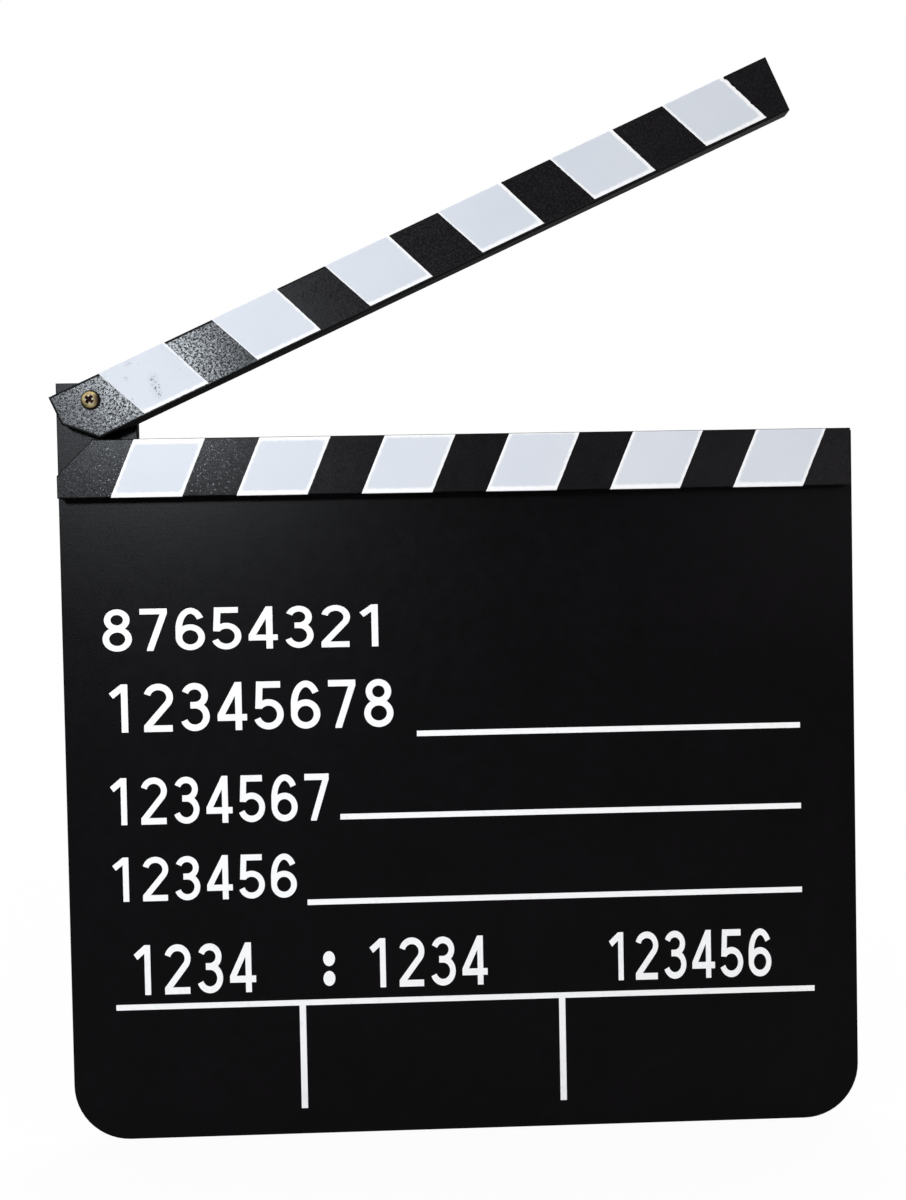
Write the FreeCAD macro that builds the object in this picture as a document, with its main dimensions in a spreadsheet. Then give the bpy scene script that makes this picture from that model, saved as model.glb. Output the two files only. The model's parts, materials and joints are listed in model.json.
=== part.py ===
"""Clapperboard: a slate board with an ear, a fixed lower stick and a pivoted upper stick.

Millimetres. X runs to the right along the board, Y to the back, Z up the board.
The origin is the middle of the board's bottom edge, halfway through its thickness.
"""
import FreeCAD
import Part
import Sketcher
import os

STRIPE_COUNT = 6

# Driving dimensions
SIZES = {
    # Board
    "board_width": 300.0,
    "board_height": 264.3,
    "board_thickness": 3.0,
    "board_corner_radius": 21.0,
    "board_ease": 0.4,
    "ear_width": 30.0,
    # Sticks
    "stick_width": 21.5,
    "stick_thickness": 6.0,
    "lower_hinge_inset": 1.7,
    "lower_free_inset": 2.9,
    "upper_hinge_inset": 1.4,
    "upper_free_inset": 4.7,
    "stick_ease": 0.35,
    "lower_stick_chamfer": 13.2,
    "upper_stick_chamfer": 10.5,
    "closed_gap": 0.5,
    "open_angle": 24.55,
    # Pivot
    "pivot_from_end": 13.6,
    "pivot_from_top": 7.6,
    "pivot_clearance": 0.08,
    "running_gap": 0.1,
    "screw_diameter": 3.2,
    "screw_standout": 0.5,
    "screw_tip_chamfer": 0.4,
    "screw_turn": 52.0,
    "head_diameter": 6.6,
    "head_height": 2.1,
    "head_rim_height": 0.8,
    "head_ease": 0.3,
    "recess_span": 4.0,
    "recess_wing": 1.0,
    "recess_depth": 1.3,
    "recess_taper": 8.0,
    "ear_hole_clearance": 0.1,
    "washer_diameter": 9.0,
    "washer_thickness": 0.8,
    "washer_clearance": 0.2,
    "nut_flats": 6.35,
    "nut_height": 2.4,
    "nut_corner_chamfer": 0.45,
    # White film
    "film_thickness": 0.12,
    "lower_stripe_start": 28.7,
    "lower_stripe_end": 9.2,
    "lower_stripe_white": 26.2,
    "upper_stripe_start": 29.9,
    "upper_stripe_end": 8.6,
    "upper_stripe_white": 25.6,
    "stripe_slant": 9.0,
    "stripe_margin": 0.05,
    "clap_edge_margin": 0.25,
    "rule_width": 2.1,
    "rule_right_inset": 21.1,
    "row_1_left": 132.4,
    "row_1_height": 152.1,
    "row_2_left": 102.8,
    "row_2_height": 121.1,
    "row_3_left": 89.7,
    "row_3_height": 88.8,
    "table_inset": 16.7,
    "table_height": 50.5,
    "column_width": 2.4,
    "column_1_left": 87.0,
    "column_2_left": 185.9,
    "column_bottom": 10.0,
    # How far a cut runs past what it cuts, and the closeness that counts as equal when edges are picked
    "cut_overrun": 0.5,
    "pick_tolerance": 0.001,
}

doc = FreeCAD.newDocument("clapperboard")
sheet = doc.addObject("Spreadsheet::Sheet", "Sizes")
for row, (alias, number) in enumerate(SIZES.items(), start=1):
    sheet.set(f"A{row}", alias)
    sheet.set(f"B{row}", str(number))
    sheet.setAlias(f"B{row}", alias)
doc.recompute()

# Places that several pieces share, as expressions of the driving dimensions
LEFT_EDGE = "(-Sizes.board_width / 2)"
RIGHT_EDGE = "(Sizes.board_width / 2)"
PIVOT_LIFT = "(Sizes.stick_width - Sizes.pivot_from_top)"
PIVOT_X = "(-Sizes.board_width / 2 + Sizes.upper_hinge_inset + Sizes.pivot_from_end)"
PIVOT_Z = f"(Sizes.board_height + Sizes.closed_gap + {PIVOT_LIFT})"
EAR_TOP = "(Sizes.board_height + Sizes.closed_gap + Sizes.stick_width)"
BOARD_FRONT = "(-Sizes.board_thickness / 2)"
BOARD_BACK = "(Sizes.board_thickness / 2)"
LOWER_FRONT = f"({BOARD_FRONT} - Sizes.stick_thickness)"
UPPER_BACK = f"({BOARD_FRONT} - Sizes.running_gap)"
UPPER_FRONT = f"({UPPER_BACK} - Sizes.stick_thickness)"
HEAD_SEAT = f"({UPPER_FRONT} - Sizes.running_gap)"
WASHER_BACK = f"({BOARD_BACK} + Sizes.washer_thickness)"
NUT_BACK = f"({WASHER_BACK} + Sizes.nut_height)"


def stick_length(stick):
    """Give the length of the stick of that name as an expression."""
    return f"(Sizes.board_width - Sizes.{stick}_hinge_inset - Sizes.{stick}_free_inset)"


def value(expression):
    """Return the number that an expression of the driving dimensions gives."""
    return float(sheet.evalExpression(expression))


def new_body(name, place_x, place_y, place_z, turn="0"):
    """Add a body placed by three expressions and turned about -Y by a fourth, in degrees."""
    body = doc.addObject("PartDesign::Body", name)
    body.Label = name
    place = f"vector({place_x}; {place_y}; {place_z})"
    body.setExpression("Placement", f"placement({place}; rotation(vector(0; -1; 0); {turn}))")
    return body


def new_sketch(body, name, role, lift=None):
    """Add a sketch on one of the body's own origin planes, lifted along its normal."""
    sketch = body.newObject("Sketcher::SketchObject", f"{body.Name}_{name}")
    planes = [feature for feature in body.Origin.OriginFeatures if feature.Role == role]
    sketch.AttachmentSupport = [(planes[0], "")]
    sketch.MapMode = "FlatFace"
    if lift is not None:
        sketch.setExpression("AttachmentOffset.Base.z", lift)
    return sketch


def bind_point(sketch, geometry, end, name, across, up):
    """Hold one end of a sketch line at a point given by two expressions."""
    index = sketch.addConstraint(
        Sketcher.Constraint("DistanceX", -1, 1, geometry, end, value(across)))
    sketch.renameConstraint(index, f"{name}_across")
    sketch.setExpression(f"Constraints.{name}_across", across)
    index = sketch.addConstraint(
        Sketcher.Constraint("DistanceY", -1, 1, geometry, end, value(up)))
    sketch.renameConstraint(index, f"{name}_up")
    sketch.setExpression(f"Constraints.{name}_up", up)


def add_outline(sketch, corners):
    """Draw a closed outline of straight lines through corners given as expressions."""
    points = [FreeCAD.Vector(value(across), value(up), 0) for across, up in corners]
    count = len(corners)
    lines = []
    for index in range(count):
        segment = Part.LineSegment(points[index], points[(index + 1) % count])
        lines.append(sketch.addGeometry(segment, False))
    for index in range(count):
        following = lines[(index + 1) % count]
        sketch.addConstraint(Sketcher.Constraint("Coincident", lines[index], 2, following, 1))
    for index, (across, up) in enumerate(corners):
        bind_point(sketch, lines[index], 1, f"corner_{index}", across, up)


def add_circle(sketch, name, across, up, radius):
    """Draw a circle whose centre and radius are expressions."""
    centre = FreeCAD.Vector(value(across), value(up), 0)
    normal = FreeCAD.Vector(0, 0, 1)
    circle = sketch.addGeometry(Part.Circle(centre, normal, value(radius)), False)
    bind_point(sketch, circle, 3, name, across, up)
    index = sketch.addConstraint(Sketcher.Constraint("Radius", circle, value(radius)))
    sketch.renameConstraint(index, f"{name}_radius")
    sketch.setExpression(f"Constraints.{name}_radius", radius)


def add_pad(body, sketch, length):
    """Pad a sketch along its normal."""
    pad = body.newObject("PartDesign::Pad", f"{body.Name}_pad")
    pad.Profile = sketch
    pad.setExpression("Length", length)
    doc.recompute()
    return pad


def drill(body, across, up, radius):
    """Drill a hole from the back of a plate right through to its front."""
    sketch = new_sketch(body, "hole_sketch", "XZ_Plane")
    add_circle(sketch, "hole", across, up, radius)
    before = body.Shape.Volume
    hole = body.newObject("PartDesign::Pocket", f"{body.Name}_hole")
    hole.Profile = sketch
    hole.Type = "ThroughAll"
    hole.Reversed = True
    doc.recompute()
    if not body.Shape.Volume < before:
        raise RuntimeError(f"{body.Name}: the hole cuts nothing")
    return hole


def is_flat_at(edge, depth):
    """Tell whether an edge lies wholly at one depth of its body."""
    box = edge.BoundBox
    near = value("Sizes.pick_tolerance")
    return abs(box.YMin - depth) < near and abs(box.YMax - depth) < near


def rim_edges(shape, depth, skip_circles=True):
    """Name the edges round a plate's face at one depth, leaving out its drilled holes."""
    names = []
    for index, edge in enumerate(shape.Edges, start=1):
        whole_circle = edge.Closed and skip_circles
        if is_flat_at(edge, depth) and not whole_circle:
            names.append(f"Edge{index}")
    return names


def add_fillet(body, base, edges, radius, name):
    """Round the named edges of a feature."""
    fillet = body.newObject("PartDesign::Fillet", f"{body.Name}_{name}")
    fillet.Base = (base, edges)
    fillet.setExpression("Radius", radius)
    doc.recompute()
    return fillet


def make_board_panel():
    """Build the board: one sheet with rounded lower corners and the ear at its upper left."""
    body = new_body("board_panel", "0", BOARD_BACK, "0")
    ear_right = f"{LEFT_EDGE} + Sizes.ear_width"
    outline = new_sketch(body, "outline", "XZ_Plane")
    add_outline(outline, [
        (LEFT_EDGE, "0"),
        (RIGHT_EDGE, "0"),
        (RIGHT_EDGE, "Sizes.board_height"),
        (ear_right, "Sizes.board_height"),
        (ear_right, EAR_TOP),
        (LEFT_EDGE, EAR_TOP),
    ])
    pad = add_pad(body, outline, "Sizes.board_thickness")
    near = value("Sizes.pick_tolerance")
    lower_corners = [
        f"Edge{index}" for index, edge in enumerate(pad.Shape.Edges, start=1)
        if edge.BoundBox.ZMax < near and edge.BoundBox.XLength < near
    ]
    rounded = add_fillet(body, pad, lower_corners, "Sizes.board_corner_radius", "corners")
    front = -value("Sizes.board_thickness")
    rims = rim_edges(rounded.Shape, 0) + rim_edges(rounded.Shape, front)
    add_fillet(body, rounded, rims, "Sizes.board_ease", "ease")
    hole_radius = "Sizes.screw_diameter / 2 + Sizes.ear_hole_clearance"
    drill(body, PIVOT_X, PIVOT_Z, hole_radius)
    return body


def make_lower_stick():
    """Build the fixed stick: glued on the board's face, level with its top edge."""
    body = new_body("lower_stick", "0", BOARD_FRONT, "0")
    left = f"({LEFT_EDGE} + Sizes.lower_hinge_inset)"
    right = f"({RIGHT_EDGE} - Sizes.lower_free_inset)"
    bottom = "(Sizes.board_height - Sizes.stick_width)"
    outline = new_sketch(body, "outline", "XZ_Plane")
    add_outline(outline, [
        (left, bottom),
        (right, bottom),
        (right, "Sizes.board_height"),
        (f"{left} + Sizes.lower_stick_chamfer", "Sizes.board_height"),
        (left, "Sizes.board_height - Sizes.lower_stick_chamfer"),
    ])
    pad = add_pad(body, outline, "Sizes.stick_thickness")
    front = -value("Sizes.stick_thickness")
    add_fillet(body, pad, rim_edges(pad.Shape, front), "Sizes.stick_ease", "ease")
    return body


def make_upper_stick():
    """Build the clapping stick about its pivot, opened by the rest angle."""
    body = new_body("upper_stick", PIVOT_X, UPPER_BACK, PIVOT_Z, "Sizes.open_angle")
    hinge_end = "(-Sizes.pivot_from_end)"
    free_end = f"({stick_length('upper')} - Sizes.pivot_from_end)"
    bottom = f"(-{PIVOT_LIFT})"
    outline = new_sketch(body, "outline", "XZ_Plane")
    add_outline(outline, [
        (f"{hinge_end} + Sizes.upper_stick_chamfer", bottom),
        (free_end, bottom),
        (free_end, "Sizes.pivot_from_top"),
        (hinge_end, "Sizes.pivot_from_top"),
        (hinge_end, f"{bottom} + Sizes.upper_stick_chamfer"),
    ])
    pad = add_pad(body, outline, "Sizes.stick_thickness")
    front = -value("Sizes.stick_thickness")
    rims = rim_edges(pad.Shape, 0) + rim_edges(pad.Shape, front)
    add_fillet(body, pad, rims, "Sizes.stick_ease", "ease")
    bore_radius = "Sizes.screw_diameter / 2 + Sizes.pivot_clearance"
    drill(body, "0", "0", bore_radius)
    return body


def make_pivot_screw():
    """Build the pan head machine screw: a turned blank with a cross recess in its crown."""
    body = new_body("pivot_screw", PIVOT_X, HEAD_SEAT, PIVOT_Z, "Sizes.screw_turn")
    head = "Sizes.head_diameter / 2"
    shank = "Sizes.screw_diameter / 2"
    tip = f"({NUT_BACK} + Sizes.screw_standout - {HEAD_SEAT})"
    profile = new_sketch(body, "profile", "XY_Plane")
    corners = [
        ("0", "-Sizes.head_height"),
        (head, "-Sizes.head_rim_height"),
        (head, "0"),
        (shank, "0"),
        (shank, f"{tip} - Sizes.screw_tip_chamfer"),
        (f"{shank} - Sizes.screw_tip_chamfer", tip),
        ("0", tip),
    ]
    points = [FreeCAD.Vector(value(across), value(up), 0) for across, up in corners]
    rise = value("Sizes.head_height - Sizes.head_rim_height")
    crown_radius = (points[1].x ** 2 + rise ** 2) / (2 * rise)
    crown_centre = FreeCAD.Vector(0, points[0].y + crown_radius, 0)
    normal = FreeCAD.Vector(0, 0, 1)
    circle = Part.Circle(crown_centre, normal, crown_radius)
    start = circle.parameter(points[0])
    crown = Part.ArcOfCircle(circle, start, circle.parameter(points[1]))
    edges = [profile.addGeometry(crown, False)]
    for index in range(1, len(points)):
        segment = Part.LineSegment(points[index], points[(index + 1) % len(points)])
        edges.append(profile.addGeometry(segment, False))
    for index in range(len(edges)):
        following = edges[(index + 1) % len(edges)]
        profile.addConstraint(Sketcher.Constraint("Coincident", edges[index], 2, following, 1))
    for index, (across, up) in enumerate(corners):
        bind_point(profile, edges[index], 1, f"corner_{index}", across, up)
    profile.addConstraint(Sketcher.Constraint("PointOnObject", edges[0], 3, -2))
    blank = body.newObject("PartDesign::Revolution", "pivot_screw_blank")
    blank.Profile = profile
    blank.ReferenceAxis = (profile, ["V_Axis"])
    doc.recompute()
    rim = rim_edges(blank.Shape, -value("Sizes.head_rim_height"), skip_circles=False)
    add_fillet(body, blank, rim, "Sizes.head_ease", "ease")
    cut_recess(body)
    return body


def cut_recess(body):
    """Cut the tapered cross recess into the top of the screw's crown."""
    reach = "(Sizes.recess_span / 2)"
    half = "(Sizes.recess_wing / 2)"
    cross = new_sketch(body, "recess_sketch", "XZ_Plane", "Sizes.head_height")
    add_outline(cross, [
        (half, half),
        (reach, half),
        (reach, f"-{half}"),
        (half, f"-{half}"),
        (half, f"-{reach}"),
        (f"-{half}", f"-{reach}"),
        (f"-{half}", f"-{half}"),
        (f"-{reach}", f"-{half}"),
        (f"-{reach}", half),
        (f"-{half}", half),
        (f"-{half}", reach),
        (half, reach),
    ])
    before = body.Shape.Volume
    recess = body.newObject("PartDesign::Pocket", "pivot_screw_recess")
    recess.Profile = cross
    recess.setExpression("Length", "Sizes.recess_depth")
    recess.setExpression("TaperAngle", "-Sizes.recess_taper")
    doc.recompute()
    if not body.Shape.Volume < before:
        raise RuntimeError("the cross recess cuts nothing")


def make_back_washer():
    """Build the flat washer that spreads the nut's load on the back of the ear."""
    body = new_body("back_washer", PIVOT_X, WASHER_BACK, PIVOT_Z)
    ring = new_sketch(body, "ring", "XZ_Plane")
    add_circle(ring, "outside", "0", "0", "Sizes.washer_diameter / 2")
    add_circle(ring, "inside", "0", "0", "Sizes.screw_diameter / 2 + Sizes.washer_clearance")
    add_pad(body, ring, "Sizes.washer_thickness")
    return body


def make_pivot_nut():
    """Build the hexagon nut, its outer corners turned off on the free face."""
    body = new_body("pivot_nut", PIVOT_X, NUT_BACK, PIVOT_Z, "Sizes.screw_turn")
    flat = "(Sizes.nut_flats / 2)"
    corner = "(Sizes.nut_flats / sqrt(3))"
    hexagon = new_sketch(body, "hexagon", "XZ_Plane")
    add_outline(hexagon, [
        (corner, "0"),
        (f"{corner} / 2", flat),
        (f"-{corner} / 2", flat),
        (f"-{corner}", "0"),
        (f"-{corner} / 2", f"-{flat}"),
        (f"{corner} / 2", f"-{flat}"),
    ])
    add_pad(body, hexagon, "Sizes.nut_height")
    drill(body, "0", "0", "Sizes.screw_diameter / 2")
    reach = f"({corner} + Sizes.cut_overrun)"
    drop = f"(Sizes.nut_corner_chamfer * ({reach} - {flat}) / ({corner} - {flat}))"
    corners = new_sketch(body, "corner_profile", "XY_Plane")
    add_outline(corners, [(flat, "0"), (reach, "0"), (reach, f"-{drop}")])
    before = body.Shape.Volume
    turned = body.newObject("PartDesign::Groove", "pivot_nut_corners")
    turned.Profile = corners
    turned.ReferenceAxis = (corners, ["V_Axis"])
    doc.recompute()
    if not body.Shape.Volume < before:
        raise RuntimeError("the nut's corners are not turned off")
    return body


def stripe_corners(stick, index, clap_margin):
    """Give a stripe's corners as distances along a stick and away from the contact line."""
    first = f"Sizes.{stick}_stripe_start"
    white = f"Sizes.{stick}_stripe_white"
    striped = f"({stick_length(stick)} - {first} - Sizes.{stick}_stripe_end)"
    start = f"({first} + {index} * ({striped} - {white}) / {STRIPE_COUNT - 1})"
    near = f"(Sizes.stick_ease + {clap_margin})"
    far = "(Sizes.stick_width - Sizes.stick_ease - Sizes.stripe_margin)"
    near_shift = f"Sizes.stripe_slant * {near} / Sizes.stick_width"
    far_shift = f"Sizes.stripe_slant * {far} / Sizes.stick_width"
    return [
        (f"({start} - {near_shift})", near),
        (f"({start} + {white} - {near_shift})", near),
        (f"({start} + {white} - {far_shift})", far),
        (f"({start} - {far_shift})", far),
    ]


def make_upper_stripe(index):
    """Build one white stripe on the face of the upper stick."""
    name = f"upper_stripe_{index + 1}"
    body = new_body(name, PIVOT_X, UPPER_FRONT, PIVOT_Z, "Sizes.open_angle")
    outline = new_sketch(body, "outline", "XZ_Plane")
    add_outline(outline, [
        (f"{along} - Sizes.pivot_from_end", f"{away} - {PIVOT_LIFT}")
        for along, away in stripe_corners("upper", index, "Sizes.clap_edge_margin")
    ])
    add_pad(body, outline, "Sizes.film_thickness")
    return body


def make_lower_stripe(index):
    """Build one white stripe on the face of the lower stick, slanted the other way."""
    body = new_body(f"lower_stripe_{index + 1}", "0", LOWER_FRONT, "0")
    outline = new_sketch(body, "outline", "XZ_Plane")
    add_outline(outline, [
        (f"{LEFT_EDGE} + Sizes.lower_hinge_inset + {along}", f"Sizes.board_height - {away}")
        for along, away in stripe_corners("lower", index, "Sizes.stripe_margin")
    ])
    add_pad(body, outline, "Sizes.film_thickness")
    return body


def make_rule(name, left, right, bottom, top):
    """Build one white ruled line on the board between four expressions."""
    body = new_body(name, "0", BOARD_FRONT, "0")
    outline = new_sketch(body, "outline", "XZ_Plane")
    add_outline(outline, [(left, bottom), (right, bottom), (right, top), (left, top)])
    add_pad(body, outline, "Sizes.film_thickness")
    return body


def make_rules():
    """Build the writing lines, the line over the table and its column lines."""
    half = "Sizes.rule_width / 2"
    rules = []
    for row in (1, 2, 3):
        rules.append(make_rule(
            f"row_line_{row}",
            f"{LEFT_EDGE} + Sizes.row_{row}_left",
            f"{RIGHT_EDGE} - Sizes.rule_right_inset",
            f"Sizes.row_{row}_height - {half}",
            f"Sizes.row_{row}_height + {half}",
        ))
    rules.append(make_rule(
        "table_line",
        f"{LEFT_EDGE} + Sizes.table_inset",
        f"{RIGHT_EDGE} - Sizes.table_inset",
        f"Sizes.table_height - {half}",
        f"Sizes.table_height + {half}",
    ))
    for column in (1, 2):
        middle = f"{LEFT_EDGE} + Sizes.column_{column}_left"
        rules.append(make_rule(
            f"column_line_{column}",
            f"{middle} - Sizes.column_width / 2",
            f"{middle} + Sizes.column_width / 2",
            "Sizes.column_bottom",
            f"Sizes.table_height - {half}",
        ))
    return rules


def make_all():
    """Build every piece in the order in which the object is put together."""
    pieces = [make_board_panel(), make_lower_stick(), make_upper_stick()]
    pieces += [make_pivot_screw(), make_back_washer(), make_pivot_nut()]
    pieces += [make_upper_stripe(index) for index in range(STRIPE_COUNT)]
    pieces += [make_lower_stripe(index) for index in range(STRIPE_COUNT)]
    pieces += make_rules()
    return pieces


def check_and_write(pieces):
    """Stop on any failed object or bad shape, then write one file for each piece."""
    doc.recompute()
    for item in doc.Objects:
        if "Invalid" in item.State or "Error" in item.State:
            raise RuntimeError(f"{item.Name} failed: {item.State}")
    for piece in pieces:
        if piece.Shape.isNull() or not piece.Shape.isValid():
            raise RuntimeError(f"{piece.Label} has no valid shape")
    os.makedirs("parts", exist_ok=True)
    for piece in pieces:
        piece.Shape.exportStep(f"parts/{piece.Label}.step")
        box = piece.Shape.BoundBox
        print(f"{piece.Label}: {piece.Shape.Volume:.1f} mm3, {len(piece.Shape.Solids)} solid,"
              f" {box.XLength:.1f} x {box.YLength:.1f} x {box.ZLength:.1f}")


check_and_write(make_all())
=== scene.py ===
"""Clapperboard: finishes, painted stripes, printed numerals, the pivot's fastener and a plain studio.

Metres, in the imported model's own frame: X to the right, Y to the back, Z up the board.
"""
import json
import logging
import math
from dataclasses import dataclass, field, replace
from enum import Enum

import bmesh
import bpy
from mathutils import Matrix, Vector, noise
from mathutils.geometry import delaunay_2d_cdt

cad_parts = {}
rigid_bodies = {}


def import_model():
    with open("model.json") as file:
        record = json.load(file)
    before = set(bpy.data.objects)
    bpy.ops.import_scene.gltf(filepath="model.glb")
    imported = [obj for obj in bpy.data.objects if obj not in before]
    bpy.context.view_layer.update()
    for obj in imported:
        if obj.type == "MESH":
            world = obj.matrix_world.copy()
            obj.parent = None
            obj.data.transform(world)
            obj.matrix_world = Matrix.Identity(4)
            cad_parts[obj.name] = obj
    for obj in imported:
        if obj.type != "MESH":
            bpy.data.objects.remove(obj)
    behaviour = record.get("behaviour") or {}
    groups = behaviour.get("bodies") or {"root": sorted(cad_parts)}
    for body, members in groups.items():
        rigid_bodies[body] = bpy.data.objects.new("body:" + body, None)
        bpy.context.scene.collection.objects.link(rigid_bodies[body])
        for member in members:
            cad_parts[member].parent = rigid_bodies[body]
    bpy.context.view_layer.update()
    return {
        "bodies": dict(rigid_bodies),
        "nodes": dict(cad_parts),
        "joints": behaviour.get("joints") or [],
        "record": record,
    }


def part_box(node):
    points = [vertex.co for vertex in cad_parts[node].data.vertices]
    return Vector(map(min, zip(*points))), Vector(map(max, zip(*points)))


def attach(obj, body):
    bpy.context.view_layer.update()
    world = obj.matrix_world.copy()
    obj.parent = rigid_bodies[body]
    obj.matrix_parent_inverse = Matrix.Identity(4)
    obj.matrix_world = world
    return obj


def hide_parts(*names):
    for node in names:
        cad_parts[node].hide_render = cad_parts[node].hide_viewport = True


LOG = logging.getLogger("clapperboard")
MM = 0.001

# A noise's middle, and the span that most of its values lie in.
NOISE_MIDDLE = 0.5
NOISE_SPAN = (0.3, 0.7)

Colour = tuple[float, float, float]
Point = tuple[float, float, float]
Flat = tuple[float, float]
Stroke = list[Flat]
Socket = bpy.types.NodeSocket


class Body(Enum):
    """The two bodies that pieces ride on."""

    BOARD = "board"
    CLAPPER = "clapper"


class Slot(Enum):
    """The record's material slots."""

    STRIPE = "white_stripe"
    LINE = "white_line"
    ZINC = "yellow_zinc"


class Level(Enum):
    """The fixed lower stick and the pivoted upper one."""

    LOWER = "lower"
    UPPER = "upper"


class Joinery(Enum):
    """How one solid is worked with another."""

    CUT = "DIFFERENCE"
    KEEP_COMMON = "INTERSECT"


class Mark(Enum):
    """What a painted stripe's points carry for its finish."""

    RIM = "stripe_rim"
    SCUFF = "stripe_scuff"


@dataclass(frozen=True)
class Side:
    """One straight side of a flat outline: the way in from it and where it lies, in millimetres."""

    across: float
    up: float
    offset: float


class NodeBench:
    """Lays out the nodes of one material or surround, from none."""

    def __init__(self, owner: bpy.types.Material | bpy.types.World) -> None:
        """Clear the owner's nodes.

        Args:
            owner: The material or surround whose nodes are laid out.
        """
        owner.use_nodes = True
        self.tree = owner.node_tree
        self.tree.nodes.clear()

    def add(self, kind: str, **values: object) -> bpy.types.Node:
        """Add a node.

        Args:
            kind: The node's type.
            values: Settings of the node itself.

        Returns:
            The new node.
        """
        node = self.tree.nodes.new(kind)
        for name, value in values.items():
            setattr(node, name, value)
        return node

    def link(self, source: Socket, target: Socket) -> None:
        """Link two sockets."""
        self.tree.links.new(source, target)

    def feed(self, target: Socket, value: object) -> None:
        """Link a socket or set a constant.

        Args:
            target: The input socket.
            value: A socket to link, or a constant to set.
        """
        if isinstance(value, Socket):
            self.link(value, target)
        else:
            target.default_value = value

    def remap(self, value: Socket, source: Flat, target: Flat = (0.0, 1.0)) -> Socket:
        """Map a value from one range to another, held at the ends.

        Args:
            value: The value socket.
            source: The range it comes in.
            target: The range it leaves in.

        Returns:
            A value socket.
        """
        node = self.add("ShaderNodeMapRange", clamp=True)
        self.link(value, node.inputs["Value"])
        node.inputs["From Min"].default_value = source[0]
        node.inputs["From Max"].default_value = source[1]
        node.inputs["To Min"].default_value = target[0]
        node.inputs["To Max"].default_value = target[1]
        return node.outputs["Result"]

    def math(self, operation: str, first: object, second: object = 0.0) -> Socket:
        """Work out one value from two.

        Args:
            operation: The math node's operation.
            first: A socket or a number.
            second: A socket or a number.

        Returns:
            A value socket.
        """
        node = self.add("ShaderNodeMath", operation=operation)
        self.feed(node.inputs[0], first)
        self.feed(node.inputs[1], second)
        return node.outputs["Value"]

    def vector(self, operation: str, *values: object) -> bpy.types.Node:
        """Add a node that works on vectors.

        Args:
            operation: The node's operation.
            values: Sockets or vectors for its first inputs.

        Returns:
            The new node.
        """
        node = self.add("ShaderNodeVectorMath", operation=operation)
        for socket, value in zip(node.inputs, values):
            self.feed(socket, value)
        return node

    def parts(self, vector: Socket) -> list[Socket]:
        """Split a vector or colour into its three values.

        Args:
            vector: The vector or colour socket.

        Returns:
            Three value sockets.
        """
        node = self.add("ShaderNodeSeparateXYZ")
        self.link(vector, node.inputs["Vector"])
        return [node.outputs[axis] for axis in "XYZ"]


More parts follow.
